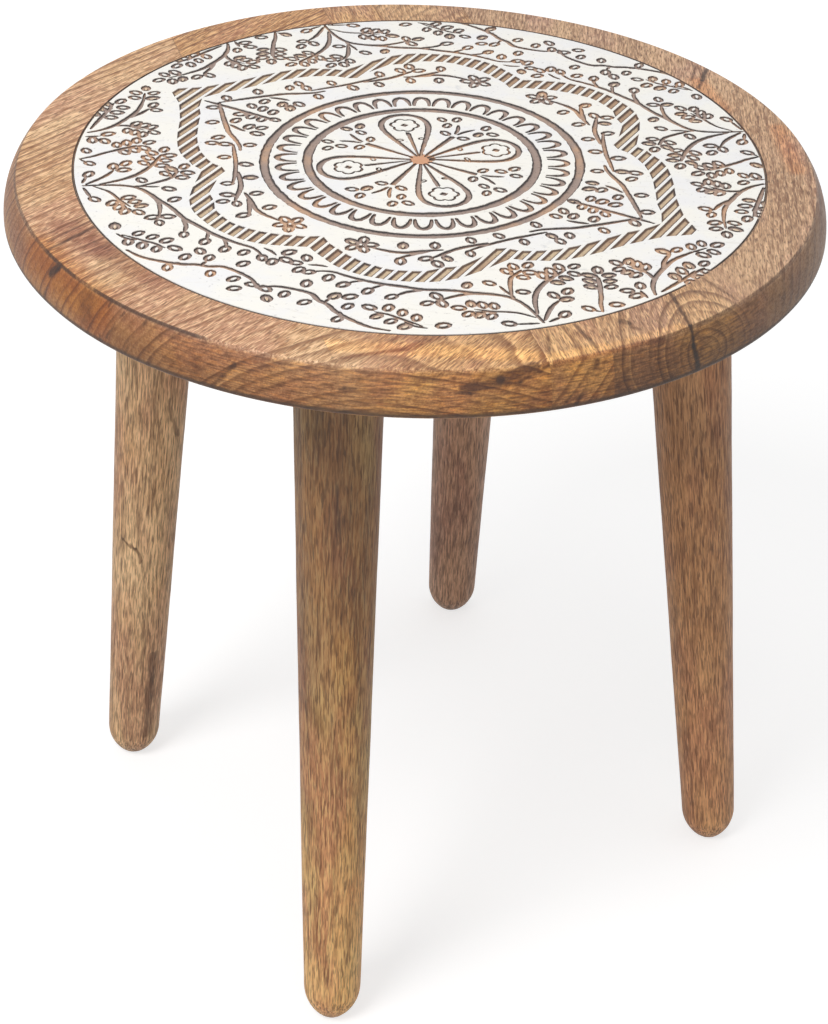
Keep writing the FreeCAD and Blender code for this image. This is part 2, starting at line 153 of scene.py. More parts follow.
class Stroke:
    """A gouged groove that follows a line, with a half width at each of its points."""

    depth, rubbed = 1.0, 0.0

    def __init__(self, line, half, closed=False):
        # A hand-cut groove never keeps quite the same width.
        self.halves = half * np.array([rng.uniform(0.9, 1.1) for _ in line])
        self.line, self.closed = line, closed
        self.low = line.min(0) - self.halves.max()
        self.high = line.max(0) + self.halves.max()

    def loops(self):
        """Closed outlines, then open or closed rails inside them."""
        side = across_of(self.line, self.closed) * self.halves[:, None]
        left, right, inner_left, inner_right = (self.line + side * share for share in (1, -1, 0.4, -0.4))
        if self.closed:
            return [(rail, True) for rail in (left, right, inner_left, inner_right)]
        outline = np.concatenate([[self.tip(0, 1)], right, [self.tip(-1, -2)], left[::-1]])
        return [(outline, True), (inner_left, False), (inner_right, False)]

    def tip(self, at, inward):
        """The tip of a rounded end."""
        out = self.line[at] - self.line[inward]
        return self.line[at] + out / max(np.linalg.norm(out), 1e-12) * self.halves[at] * 0.9

    def inside(self, points):
        """How far inside the outline each point lies, and its half width there."""
        a, ha = self.line, self.halves
        b, hb = np.roll(a, -1, 0), np.roll(ha, -1)
        if not self.closed:
            a, ha, b, hb = a[:-1], ha[:-1], b[:-1], hb[:-1]
        ab = b - a
        rel = points[:, None, :] - a[None]
        share = np.clip((rel * ab).sum(2) / np.maximum((ab * ab).sum(1), 1e-12), 0, 1)
        half = ha + share * (hb - ha)
        within = half - np.linalg.norm(rel - share[..., None] * ab, axis=2)
        rows, best = np.arange(len(points)), within.argmax(1)
        return within[rows, best], half[rows, best]


class Cell:
    """A shallow cut with four straight sides: one strand of the rope border."""

    depth, rubbed = 0.5, 1.0

    def __init__(self, corners):
        corners = np.array(corners, float)
        leftward = np.cross(corners[1] - corners[0], corners[2] - corners[1]) > 0
        self.corners = corners if leftward else corners[::-1]
        self.low, self.high = self.corners.min(0), self.corners.max(0)
        self.reach = float(self.within(self.corners.mean(0)[None])[0])

    def loops(self):
        return [(self.corners, True), (self.moved_in(self.reach * 0.68), True)]

    def moved_in(self, gap):
        """The corners moved in, so that every side moves by the gap."""
        along = np.roll(self.corners, -1, 0) - self.corners
        inward = left_of(along.T).T / np.linalg.norm(along, axis=1, keepdims=True)
        level = (inward * self.corners).sum(1) + gap
        moved = [np.linalg.solve([inward[k - 1], inward[k]], [level[k - 1], level[k]]) for k in range(4)]
        return np.array(moved)

    def within(self, points):
        along = np.roll(self.corners, -1, 0) - self.corners
        along /= np.linalg.norm(along, axis=1, keepdims=True)
        rel = points[:, None, :] - self.corners[None]
        return (along[:, 0] * rel[..., 1] - along[:, 1] * rel[..., 0]).min(1)

    def inside(self, points):
        return self.within(points), np.full(len(points), self.reach)


# The ornament. Outside the rings the field has four copies of one quarter, mirrored in pairs.
# A quarter's points are (degrees from the notch axis, share of the field's radius).

NOTCH_AXIS = 72.2
QUARTERS = ((NOTCH_AXIS, -1), (NOTCH_AXIS, 1), (NOTCH_AXIS + 180, -1), (NOTCH_AXIS + 180, 1))
# The carver set the outer ornament a little along its own axis, and drew it slightly wide.
AXIS_SHIFT = 0.012
SPREAD = 1.01

STEM, BRANCH, TWIG = 0.0086, 0.0074, 0.006

# Each stem has its half width and its points.
STEMS = [
    # upper garland
    (STEM, [(0, .9), (2, .87), (5, .858), (9, .86), (11, .885), (13, .9), (15, .93), (18, .96), (21, .985),
            (24, .995)]),
    (TWIG, [(15.5, .925), (16.3, .95)]),
    (TWIG, [(12.3, .89), (12.6, .87)]),
    (TWIG, [(26, .945), (27.5, .965), (29.5, .975)]),
    (TWIG, [(21, .905), (23.5, .915), (26, .94)]),
    # lower garland
    (TWIG, [(4, .722), (6, .712), (8, .71)]),
    (STEM, [(6, .752), (7.5, .738), (10, .73), (13, .738), (16, .746), (20, .755), (25, .763), (29, .774),
            (33, .777), (36, .785), (38, .795), (41, .808), (44, .83), (45.6, .86), (46.5, .9), (47, .95),
            (47.2, .985)]),
    (TWIG, [(13.8, .78), (15.2, .762), (17, .752)]),
    (TWIG, [(18.8, .79), (20.3, .77), (21.5, .758)]),
    (BRANCH, [(24.2, .81), (26, .79), (29, .778)]),
    (BRANCH, [(32, .83), (34.5, .812), (37.5, .802), (41, .81), (44, .832)]),
    (TWIG, [(37.5, .895), (39.5, .9), (42, .906), (44.5, .922), (46.6, .955)]),
    (TWIG, [(43, .975), (46.5, .985)]),
    # first root on the border
    (TWIG, [(48.1, .985), (50.2, .972)]),
    (BRANCH, [(47.6, .975), (49, .94), (50.5, .912), (52.3, .892)]),
    (STEM, [(47.3, .935), (48.2, .88), (49.8, .832), (52.5, .795), (55.5, .772), (59, .755)]),
    (TWIG, [(45.4, .84), (44.4, .8), (44, .775)]),
    (BRANCH, [(45.2, .825), (46.1, .775), (47.5, .735), (50.5, .712)]),
    # second root
    (BRANCH, [(56.9, .99), (58, .95), (59.3, .92), (60.6, .885), (62, .85), (63, .82)]),
    (TWIG, [(56.6, .985), (55.9, .972)]),
    # third root
    (TWIG, [(65.3, .99), (65.9, .95)]),
    (STEM, [(66.9, .99), (68.3, .955), (70.6, .925), (74, .905), (78, .895), (82.5, .91)]),
    (BRANCH, [(70.2, .93), (70.9, .9), (71, .865), (70.7, .83)]),
    (BRANCH, [(74, .904), (76.5, .88), (79.3, .868)]),
    (BRANCH, [(68.3, .988), (71.5, .982), (75.5, .978), (79, .982)]),
    # vine inside the rope
    (STEM, [(14.6, .566), (18, .572), (21, .577), (24.5, .576), (28, .566), (31, .56), (34.5, .557)]),
    (BRANCH, [(23.2, .605), (25, .593), (27.5, .578), (30.5, .566)]),
    (STEM, [(31.5, .6), (34, .582), (37, .562), (40, .55), (44, .543), (48, .54)]),
    (BRANCH, [(41.4, .57), (45, .556), (50, .545), (56, .541), (60, .545), (64, .551), (66.5, .557)]),
    (STEM, [(62.5, .53), (66, .537), (70, .558), (74, .588), (78, .612), (82, .64), (86, .672), (89, .7)]),
    (BRANCH, [(78.6, .6), (77, .57), (76, .545)]),
]

# Single leaves
LEAVES = [
    (1.3, .89), (3, .932), (5, .892), (9.2, .91), (15.6, .965), (13.2, .85), (16, .842), (16.4, .893),
    (7, .815), (32, .962), (1.2, .728), (3.2, .757), (2.4, .69), (5.6, .757), (9.8, .765), (13.5, .785),
    (18.5, .8), (23.3, .82), (37.6, .755), (42.4, .752), (29.5, .845), (32.2, .848), (31.2, .808),
    (42, .968), (51.3, .962), (53.8, .892), (52.2, .862), (55, .856), (47.4, .818), (60, .975),
    (55.4, .96), (64.2, .965), (64.2, .93), (67, .93), (81.3, .868), (79.3, .845),
    (23.3, .625), (29.7, .605), (32.3, .633), (35.2, .605), (41.6, .585), (57.8, .572), (23.2, .538),
    (32.6, .53), (43.6, .513), (52.8, .512), (66.8, .508), (66.2, .618), (66.2, .58), (70, .61),
    (78.3, .655), (86, .7), (86, .605), (86, .566), (86, .53), (81.6, .596), (79.4, .542), (75.6, .506),
    (80, .505),
]

# Sprigs: a stalk with leaves on both sides and one at its end, from its foot to its tip, with the pairs
SPRIGS = [
    ((28.8, .965), (19.9, .885), 3), ((42, .908), (35, .872), 3), ((52.5, .79), (61.4, .75), 3),
    ((46.8, .74), (52.8, .69), 2), ((60.4, .9), (64.5, .8), 3), ((71, .895), (69.3, .8), 3),
    ((72, .985), (80.2, .968), 3), ((81.5, .905), (87, .945), 2),
]

# One flower of five petals inside the rope
FLOWER = (11.5, .56)
# The outer and the inner edge of the rope, point by point
ROPE_OUTER = [
    (0, .635), (2, .648), (4, .66), (7, .68), (10, .7), (15, .72), (20, .73), (24, .735), (30, .735),
    (33, .73), (36, .72), (40, .7), (44, .675), (46, .665), (48, .65), (51.5, .645), (54, .667),
    (56, .675), (58, .69), (60, .7), (64, .715), (70, .73), (74, .74), (78, .755), (82, .78), (84, .795),
    (86, .815), (88, .85), (90, .875),
]
ROPE_INNER = [
    (0, .56), (4, .59), (7, .605), (10, .625), (13, .64), (16, .655), (19, .665), (22, .675), (28, .675),
    (31, .67), (34, .655), (38, .65), (40, .64), (42, .625), (46, .6), (48, .585), (51, .572), (54, .6),
    (56, .615), (60, .635), (64, .652), (70, .67), (74, .68), (78, .695), (82, .71), (84, .725),
    (86, .74), (90, .762),
]

# The flower at the centre: rings, scallops, four petals and four sprigs between them
# Each ring's radius, half width and centre, and how oval it was cut, straight and along the diagonal
RINGS = ((0.3352, 0.015, (0.0072, -0.0035), (-0.0032, 0.0024)),
         (0.4608, 0.0145, (0.0074, -0.0035), (-0.0054, 0.0051)))
SCALLOPS, FIRST_SCALLOP, SCALLOP_CENTRE = 40, 11.6, (0.0072, -0.0035)
SCALLOP_HALF, SCALLOP_TAPER = 0.0102, 0.0056
# One side of a scallop from its foot to its tip, as (radius, degrees aside)
SCALLOP_SIDE = ((0.3665, 3.55), (0.382, 3.4), (0.4, 2.85), (0.413, 2.0), (0.4195, 0.95), (0.4215, 0))
# Each petal's turn and where its small flower stands
PETALS = ((29.1, 0.233), (113.1, 0.229), (207.6, 0.2154), (298.6, 0.2246))
PETAL_TIP, PETAL_ROUND = 0.3, 0.0695
# One side of a petal, as (along, aside), up to its round end
PETAL_SIDE = [(0.028, 0.0075), (0.06, 0.0185), (0.1, 0.0335), (0.15, 0.052), (0.19, 0.064), (0.215, 0.0688)]
CENTRE_SPRIGS = (69, 160.3, 255.6, 342.8)
# A centre sprig's fork, and its leaves as (along, aside, lean along, lean aside) from the centre outwards
CENTRE_FORK = ((0.2, 0.004), (0.228, 0.012), (0.258, 0.028))
CENTRE_LEAVES = ((0.189, 0.031, 0.35, 1), (0.236, 0.054, 1, 0.2), (0.262, 0.088, 0.3, 1),
                 (0.286, 0.051, 1, 0.1))
SAMPLE = 0.008
STRAND_WIDTH, STRAND_GAP = 0.024, 0.0093
LEAF_LENGTH, LEAF_WIDTH, LEAF_STROKE = 0.0335, 0.022, 0.0066
# Places where the paint is worn off, with their radius
worn_spots = [((0.004, 0.002), 0.036), ((0.022, 0.01), 0.024)]
cuts = []


def turns(count):
    """Even steps round a circle, in radians."""
    return [2 * pi * k / count for k in range(count)]


def polar(turn, r):
    """The place at a turn in degrees and a radius."""
    return np.array((r * cos(radians(turn)), r * sin(radians(turn))))


def on_quarter(turn, sign, u, r):
    """A place in one quarter of the outer ornament."""
    return polar(turn + sign * (u * SPREAD), r) + polar(NOTCH_AXIS, AXIS_SHIFT)


def add_stroke(points, half, taper=0.55, closed=False, step=SAMPLE):
    line = smooth_line(points, step, closed)
    along = np.zeros(len(line)) if closed else np.linspace(-1, 1, len(line))
    cuts.append(Stroke(line, half * (1 - (1 - taper) * np.abs(along) ** 3), closed))


def add_wedge(points, start, end):
    """A stroke that widens from a fine start to a blunt end."""
    line = smooth_line(points, SAMPLE)
    cuts.append(Stroke(line, start + (end - start) * np.linspace(0, 1, len(line)) ** 0.7))


def add_leaf(centre, toward, scale=1.0, bare=0.12):
    """A leaf is a groove round an island, longer in one direction and a little pointed there."""
    along = turned(toward / max(np.linalg.norm(toward), 1e-9), rng.uniform(-0.15, 0.15))
    side = left_of(along)
    scale *= rng.uniform(0.93, 1.07)
    points = []
    for a in turns(10):
        point = 1 + 0.1 * (cos(a) > 0.9)
        points.append(centre + along * cos(a) * LEAF_LENGTH / 2 * scale * point
                      + side * sin(a) * LEAF_WIDTH / 2 * scale)
    add_stroke(points, LEAF_STROKE * scale, closed=True, step=0.0075)
    if rng.random() < bare:
        worn_spots.append((centre, LEAF_WIDTH * scale * 0.55))


def nearest_way(point, lines):
    """From the nearest point of any stem to a leaf."""
    rel = point - np.concatenate(lines)
    return rel[np.linalg.norm(rel, axis=1).argmin()]


def add_sprig(foot, tip, pairs):
    length = np.linalg.norm(tip - foot)
    along = (tip - foot) / length
    side = left_of(along)
    add_stroke([foot, tip - along * length * 0.35], TWIG * 0.8)
    for k in range(pairs):
        at = foot + along * length * (k + 0.75) / (pairs + 0.75)
        for way in (-1, 1):
            add_leaf(at + side * way * 0.027 + along * 0.003, along * 0.4 + side * way, bare=0.25)
    add_leaf(tip, along)


def add_flower(centre):
    """Five petals round a small ring, turned to the middle of the field."""
    out = centre / np.linalg.norm(centre)
    for k in range(5):
        way = turned(out, radians(72 * k + 36))
        add_leaf(centre + way * 0.0285, way)
    ring = [centre + 0.0065 * turned(out, a) for a in np.linspace(0, 2 * pi, 7)[:-1]]
    add_stroke(ring, 0.0024, closed=True, step=0.005)


def rope_edge(table):
    """An edge of the rope as places across and along the point's axis, both rising along the quarter."""
    points = smooth_line([polar(u, r) for u, r in table], SAMPLE)
    return points[:, 1], points[:, 0]


def add_rope():
    """The band is cut into strands that all lie parallel to the notch axis, closed at each point."""
    outer_y, outer_x = rope_edge(ROPE_OUTER)
    inner_y, inner_x = rope_edge(ROPE_INNER)
    axis = polar(NOTCH_AXIS, 1)
    lateral = left_of(axis)
    y = STRAND_GAP / 2
    while y < outer_y[-1] - STRAND_GAP:
        low, high = y, min(y + STRAND_WIDTH, outer_y[-1] - 0.004)
        out = np.interp((low, high), outer_y, outer_x)
        if high < inner_y[-1]:
            back = np.interp((low, high), inner_y, inner_x)
            sides = [(-out, -back), (out, back)]
        else:
            sides = [(out, -out)]
        for way in (-1, 1):
            for out, back in sides:
                places = ((out[0], low), (out[1], high), (back[1], high), (back[0], low))
                cuts.append(Cell([axis * (x + AXIS_SHIFT) + lateral * v * way for x, v in places]))
        y += STRAND_WIDTH + STRAND_GAP


def add_scallop(turn):
    side = [polar(turn - a, r) + SCALLOP_CENTRE for r, a in SCALLOP_SIDE]
    other = [polar(turn + a, r) + SCALLOP_CENTRE for r, a in SCALLOP_SIDE[-2::-1]]
    line = smooth_line(side + other, SAMPLE * 0.8)
    cuts.append(Stroke(line, SCALLOP_HALF - SCALLOP_TAPER * np.abs(np.linspace(-1, 1, len(line))) ** 1.3))


def add_petal(turn, flower):
    """Two bowed sides from near the centre to a round end, a stem, two leaves and a small flower."""
    end = [(PETAL_TIP - PETAL_ROUND + PETAL_ROUND * cos(a), PETAL_ROUND * sin(a))
           for a in np.radians((80, 60, 40, 20, 0))]
    side = PETAL_SIDE + end
    points = [(x, -y) for x, y in side] + side[-2::-1]
    add_stroke([turned(np.array(p), radians(turn)) for p in points], 0.01, taper=0.5)
    add_wedge([polar(turn, r) for r in (0.03, 0.09, 0.13, flower - 0.055)], 0.003, 0.0076)
    for way in (-1, 1):
        add_leaf(polar(turn + way * 13.5, 0.137), polar(turn + way * 70, 1), 0.52)
    centre = polar(turn, flower)
    for k in range(6):
        outward = turn + 60 * k + rng.uniform(12, 18)
        arc = [centre + polar(outward, 0.0245) + polar(outward + a, 0.0175) for a in (-78, -40, 0, 40, 78)]
        add_stroke(arc, 0.0044, taper=0.7, step=0.005)
    dot = polar(turn, 0.003)
    add_stroke([centre - dot, centre + dot], 0.0125, taper=0.9, step=0.003)


def add_centre_sprig(turn):
    along, aside = polar(turn, 1), polar(turn + 90, 1)
    add_wedge([along * r for r in (0.028, 0.08, 0.13, 0.178)], 0.0045, 0.0098)
    for side in (-1, 1):
        add_stroke([along * x + aside * y * side for x, y in CENTRE_FORK], 0.0064)
        for x, y, lean_x, lean_y in CENTRE_LEAVES:
            add_leaf(along * x + aside * y * side, along * lean_x + aside * lean_y * side, 0.92)


def add_quarter(turn, sign):
    lines = []
    for half, points in STEMS:
        points = [on_quarter(turn, sign, u, r) for u, r in points]
        lines.append(smooth_line(points, SAMPLE))
        add_stroke(points, half)
    for u, r in LEAVES:
        centre = on_quarter(turn, sign, u + rng.uniform(-0.15, 0.15), r + rng.uniform(-0.0015, 0.0015))
        add_leaf(centre, nearest_way(centre, lines))
    for foot, tip, pairs in SPRIGS:
        add_sprig(on_quarter(turn, sign, *foot), on_quarter(turn, sign, *tip), pairs)
    add_flower(on_quarter(turn, sign, *FLOWER))


def add_ornament():
    for radius, half, centre, (straight, diagonal) in RINGS:
        points = []
        for turn in range(0, 360, 6):
            c, s = polar(2 * turn, 1)
            points.append(polar(turn, radius + straight * c + diagonal * s) + centre)
        add_stroke(points, half, closed=True, step=0.012)
    for k in range(SCALLOPS):
        add_scallop(FIRST_SCALLOP + 360 * k / SCALLOPS)
    for petal in PETALS:
        add_petal(*petal)
    for turn in CENTRE_SPRIGS:
        add_centre_sprig(turn)
    add_rope()
    for quarter in QUARTERS:
        add_quarter(*quarter)
    for turn in (NOTCH_AXIS + 90, NOTCH_AXIS - 90):
        add_stroke([polar(turn, r) for r in (0.5, 0.6, 0.68, 0.745)], STEM)
        add_leaf(polar(turn, 0.497), polar(turn + 180, 1))


def ring_points(radius):
    angles = np.linspace(0, 2 * pi, ROUND_SEGMENTS + 1)[:-1]
    return np.column_stack([radius * np.cos(angles), radius * np.sin(angles)])


def carve_mesh():
    """One triangulation of the whole flat of the top in field coordinates, and the loop at its rim."""
    coords, edges = [], []

    def add_loop(loop, closed=True):
        start, count = len(coords), len(loop)
        coords.extend((float(x), float(y)) for x, y in loop)
        edges.extend((start + i, start + (i + 1) % count) for i in range(count if closed else count - 1))

    for cut in cuts:
        for loop, closed in cut.loops():
            add_loop(loop * FIELD_RADIUS / MM, closed)
    for side in (0, -0.5, 0.5):
        add_loop(ring_points(FIELD_RADIUS / MM + side * (BORDER_WIDTH / MM)))
    rim_start = len(coords)
    add_loop(ring_points((ARRIS_RADIUS - ARRIS_ROUNDING) / MM) + np.array((TOP_CENTRE - FIELD_CENTRE) / MM))
    out = delaunay_2d_cdt(coords, edges, [], 1, 1e-4, True)
    points = np.array([tuple(p) for p in out[0]]) * MM
    index_of = {source: index for index, sources in enumerate(out[3]) for source in sources}
    rim = [index_of[rim_start + k] for k in range(ROUND_SEGMENTS)]
    return points, np.array([tuple(t) for t in out[2]]), rim


def sink_of(points):
    """For points in field coordinates: depth, from 0 to 1, how far inside a cut, and how rubbed."""
    share = points / FIELD_RADIUS
    depth, rubbed, inside = np.zeros(len(points)), np.zeros(len(points)), np.full(len(points), -1.0)
    order = np.argsort(share[:, 0])
    xs = share[order, 0]
    for cut in cuts:
        first, last = np.searchsorted(xs, (cut.low[0], cut.high[0]))
        near = order[first:last]
        near = near[(share[near, 1] >= cut.low[1]) & (share[near, 1] <= cut.high[1])]
        if not len(near):
            continue
        within, half = cut.inside(share[near])
        depth[near] = np.maximum(depth[near], cut.depth * np.clip(within / (half * 0.65), 0, 1))
        rubbed[near] = np.where(within > inside[near], cut.rubbed, rubbed[near])
        inside[near] = np.maximum(inside[near], within)
    radius = np.linalg.norm(points, axis=1)
    depth[radius > FIELD_RADIUS] = 0
    inside[radius > FIELD_RADIUS] = -1
    border = BORDER_WIDTH / 2 - np.abs(radius - FIELD_RADIUS)
    rubbed[border > 0] = 0.5
    depth = np.maximum(depth, np.clip(border / (BORDER_WIDTH / 2), 0, 1) * 0.5)
    return depth, np.maximum(inside, border / FIELD_RADIUS), rubbed


# Meshes

def add_object(name, data):
    thing = bpy.data.objects.new(name, data)
    bpy.context.scene.collection.objects.link(thing)
    return thing


def new_mesh(name, coords, faces):
    mesh = bpy.data.meshes.new(name)
    mesh.from_pydata([tuple(p) for p in coords], [], [tuple(int(i) for i in f) for f in faces])
    return mesh


def add_piece(name, mesh, replaces, sharp=35):
    mesh.shade_smooth()
    mesh.set_sharp_from_angle(angle=radians(sharp))
    piece = add_object(name, mesh)
    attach(piece, "root")
    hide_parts(replaces)
    return piece


def leg_matrix(reach, azimuth, splay, heading):
    """A leg's own frame: its origin at the underside of the top, its Z axis up along the leg."""
    place = Vector((*polar(azimuth, reach * MM), UNDERSIDE_Z))
    turn = Matrix.Rotation(radians(heading), 4, "Z") @ Matrix.Rotation(-radians(splay), 4, "Y")
    return Matrix.Translation(place) @ turn


def wobble(angle, height, seed):
    """A smooth value from 0 to 1 round the edge, for hand finishing."""
    waves = enumerate(((3, 40), (7, 90), (13, 160), (29, 300)))
    total = sum(sin(around * angle + up * height + seed * (k + 1.7)) / (k + 1) for k, (around, up) in waves)
    return 0.5 + total / 4.2


def edge_profile():
    """Rows of the round edge below the flat, as (radius, height), from the arris to the underside."""
    band_radius = (EDGE_BULGE ** 2 + BULGE_DEPTH ** 2) / (2 * EDGE_BULGE)
    widest = TOP_Z - BULGE_DEPTH
    lower = widest - UNDERSIDE_Z

    def on_arc(radius, a):
        return Vector((TOP_RADIUS - radius + radius * cos(a), widest + radius * sin(a)))

    first = asin(BULGE_DEPTH / band_radius) - ARRIS_ROUNDING / band_radius
    arris = Vector((ARRIS_RADIUS, TOP_Z))
    above, below = Vector((ARRIS_RADIUS - ARRIS_ROUNDING, TOP_Z)), on_arc(band_radius, first)
    rows = [above * (1 - t) ** 2 + arris * 2 * t * (1 - t) + below * t * t for t in (0.2, 0.4, 0.6, 0.8)]
    rows += [on_arc(band_radius, first * (1 - k / BAND_ROWS)) for k in range(BAND_ROWS + 1)]
    return rows + [on_arc(lower, -pi / 2 * k / UNDER_ROWS) for k in range(1, UNDER_ROWS + 1)]


def insert_bore(matrix):
    """The rim of a bore in the underside and its far end, as two loops."""
    axis = (matrix.to_3x3() @ Vector((0, 0, 1))).normalized()
    rim, end = [], []
    for a in turns(BORE_SEGMENTS):
        at = matrix @ Vector((INSERT_BORE_RADIUS * cos(a), INSERT_BORE_RADIUS * sin(a), 0))
        rim.append(at + axis * ((UNDERSIDE_Z - at.z) / axis.z))
        end.append(at + axis * INSERT_BORE_DEPTH)
    return rim, end


def band(first, second):
    """The faces between two loops of points."""
    count = len(first)
    return [(first[k], second[k], second[(k + 1) % count], first[(k + 1) % count]) for k in range(count)]


def close_underside(coords, faces, outer):
    """The flat underside with its four bores, facing down."""
    plane, edges, sources, centres = [], [], [], []

    def add(loop):
        start, count = len(plane), len(loop)
        plane.extend((coords[index][0] / MM, coords[index][1] / MM) for index in loop)
        sources.extend(loop)
        edges.extend((start + k, start + (k + 1) % count) for k in range(count))

    add(outer)
    for place in LEGS.values():
        rim, end = insert_bore(leg_matrix(*place))
        first, count = len(coords), len(rim)
        coords.extend(tuple(p) for p in rim + end)
        centres.append(sum((p.xy for p in rim), Vector((0, 0))) / count)
        add(range(first, first + count))
        for k in range(count):
            n = (k + 1) % count
            faces.append((first + k, first + n, first + count + n, first + count + k))
        faces.append(tuple(range(first + count, first + 2 * count)))
    out = delaunay_2d_cdt(plane, edges, [], 1, 1e-4, True)
    index_of = [sources[source[0]] for source in out[3]]
    for triangle in out[2]:
        corners = [index_of[k] for k in reversed(triangle)]
        middle = sum((Vector(coords[k][:2]) for k in corners), Vector((0, 0))) / 3
        if all((middle - centre).length >= INSERT_BORE_RADIUS for centre in centres):
            faces.append(tuple(corners))


def build_top():
    """The whole carved top as one mesh, the points of its flat, and the triangles that carry paint."""
    points, triangles, above = carve_mesh()
    depth, _, rubbed = sink_of(points)
    middles = points[triangles].mean(1)
    _, inside, _ = sink_of(middles)
    painted = (inside <= 0) & (np.linalg.norm(middles, axis=1) < FIELD_RADIUS)
    worn = np.zeros(len(triangles), bool)
    for centre, reach in worn_spots:
        worn |= painted & (np.linalg.norm(middles / FIELD_RADIUS - centre, axis=1) < reach)
    painted &= ~worn
    base = np.where(np.linalg.norm(points, axis=1) < FIELD_RADIUS * 1.0001, TOP_Z - COAT_THICKNESS, TOP_Z)
    heights = base - depth * (CARVING_DEPTH - COAT_THICKNESS)
    flat = np.column_stack([points + np.array(FIELD_CENTRE), heights])
    coords, faces = list(flat), list(triangles)
    for row, (across, height) in enumerate(edge_profile()):
        loop = range(len(coords), len(coords) + ROUND_SEGMENTS)
        for a in turns(ROUND_SEGMENTS):
            r = across - EDGE_WORK * wobble(a, height, 2) * min(1, row / 4)
            coords.append((TOP_CENTRE.x + r * cos(a), TOP_CENTRE.y + r * sin(a), height))
        faces += band(above, loop)
        above = loop
    close_underside(coords, faces, above)
    whole = new_mesh("whole_top", coords, faces)
    kinds = np.zeros(len(faces), np.int32)
    kinds[:len(triangles)] = np.where(worn, 2, inside > 0)
    whole.polygons.foreach_set("material_index", kinds)
    for label, values in (("carve", depth), ("rubbed", rubbed)):
        layer = np.zeros(len(coords), np.float32)
        layer[:len(values)] = values
        whole.attributes.new(label, "FLOAT", "POINT").data.foreach_set("value", layer)
    return whole, flat, triangles[painted]


def build_board(name, whole, start, end):
    """The part of the top between two glue lines, closed where it is cut."""
    bm = bmesh.new()
    bm.from_mesh(whole)
    for offset, way in ((start, -1), (end, 1)):
        if abs(offset) > TOP_RADIUS:
            continue
        cut = bmesh.ops.bisect_plane(bm, geom=bm.verts[:] + bm.edges[:] + bm.faces[:], dist=1e-7,
                                     plane_co=ACROSS * offset, plane_no=ACROSS * way, clear_outer=True)
        rim = [e for e in cut["geom_cut"] if isinstance(e, bmesh.types.BMEdge)]
        bmesh.ops.triangle_fill(bm, edges=rim, use_beauty=False, normal=ACROSS * way)
    mesh = bpy.data.meshes.new(name + "_wood")
    bm.to_mesh(mesh)
    bm.free()
    return add_piece(name + "_wood", mesh, name)


def build_coat(flat, painted):
    """The paint: its face, its edges down the grooves and its back on the wood."""
    used, where = np.unique(painted, return_inverse=True)
    top = where.reshape(-1, 3)
    count = len(used)
    face = flat[used].copy()
    face[:, 2] = TOP_Z
    back = face - (0, 0, COAT_THICKNESS)
    sides = {}
    for t in top:
        for a, b in ((t[0], t[1]), (t[1], t[2]), (t[2], t[0])):
            if (b, a) in sides:
                del sides[(b, a)]
            else:
                sides[(a, b)] = True
    faces = list(top) + [t[::-1] + count for t in top] + [(b, a, a + count, b + count) for a, b in sides]
    mesh = new_mesh("white_enamel", np.concatenate([face, back]), faces)
    return add_piece("white_enamel", mesh, "white_enamel_coat")


def build_leg(name, reach, azimuth, splay, heading):
    """A turned leg in its own frame, cut level at the top and at the floor, with its bolt bore."""
    matrix = leg_matrix(reach, azimuth, splay, heading)
    lean = radians(splay)
    drop = LEG_FOOT_RADIUS - FOOT_FLAT_RADIUS
    bend = (drop ** 2 + FOOT_ROUNDING ** 2) / (2 * drop)
    shaft = UNDERSIDE_Z / cos(lean) + FOOT_FLAT_RADIUS * tan(lean) - FOOT_ROUNDING
    coords, loops = [], []

    def add_loop(radius, height, work=LEG_WORK):
        loops.append(range(len(coords), len(coords) + LEG_SEGMENTS))
        for a in turns(LEG_SEGMENTS):
            r = radius - work * wobble(a, height, azimuth)
            z = height - r * cos(a) * tan(lean) * max(0, 1 + height / SLANT_DEPTH)
            coords.append(Vector((r * cos(a), r * sin(a), z)))

    add_loop(DRILL_TIP_RADIUS, -BORE_DEPTH - DRILL_TIP_DEPTH, 0)
    add_loop(BORE_RADIUS, -BORE_DEPTH, 0)
    add_loop(BORE_RADIUS, 0, 0)
    for k in range(SHAFT_ROWS + 1):
        share = k / SHAFT_ROWS
        add_loop(LEG_TOP_RADIUS + (LEG_FOOT_RADIUS - LEG_TOP_RADIUS) * share, -shaft * share)
    for k in range(1, FOOT_ROWS + 1):
        a = asin(FOOT_ROUNDING / bend) * k / FOOT_ROWS
        add_loop(LEG_FOOT_RADIUS - bend + bend * cos(a), -shaft - bend * sin(a))
    faces = [face for first, second in zip(loops, loops[1:]) for face in band(first, second)]
    faces += [tuple(reversed(loops[-1])), tuple(loops[0])]
    up = matrix.to_3x3() @ Vector((0, 0, 1))
    for index in range(loops[-3][0], len(coords)):
        below = (matrix @ coords[index]).z
        if below < 0:
            coords[index] += Vector((0, 0, -below / up.z))
    mesh = new_mesh(name + "_wood", [matrix @ p for p in coords], faces)
    return add_piece(name + "_wood", mesh, name, 40)


add_ornament()
whole_top, flat, painted = build_top()
edges = [-2 * TOP_RADIUS] + GLUE_LINES + [2 * TOP_RADIUS]
boards = {name: build_board(name, whole_top, *ends) for name, ends in zip(BOARDS, zip(edges, edges[1:]))}
bpy.data.meshes.remove(whole_top)
coat = build_coat(flat, painted)
legs = {name: build_leg(name, *place) for name, place in LEGS.items()}


# Materials

def tint(red, green, blue):
    """A colour written in display values from 0 to 255, as the shader wants it."""
    shares = [v / 255 for v in (red, green, blue)]
    return tuple(v / 12.92 if v <= 0.04045 else ((v + 0.055) / 1.055) ** 2.4 for v in shares) + (1,)


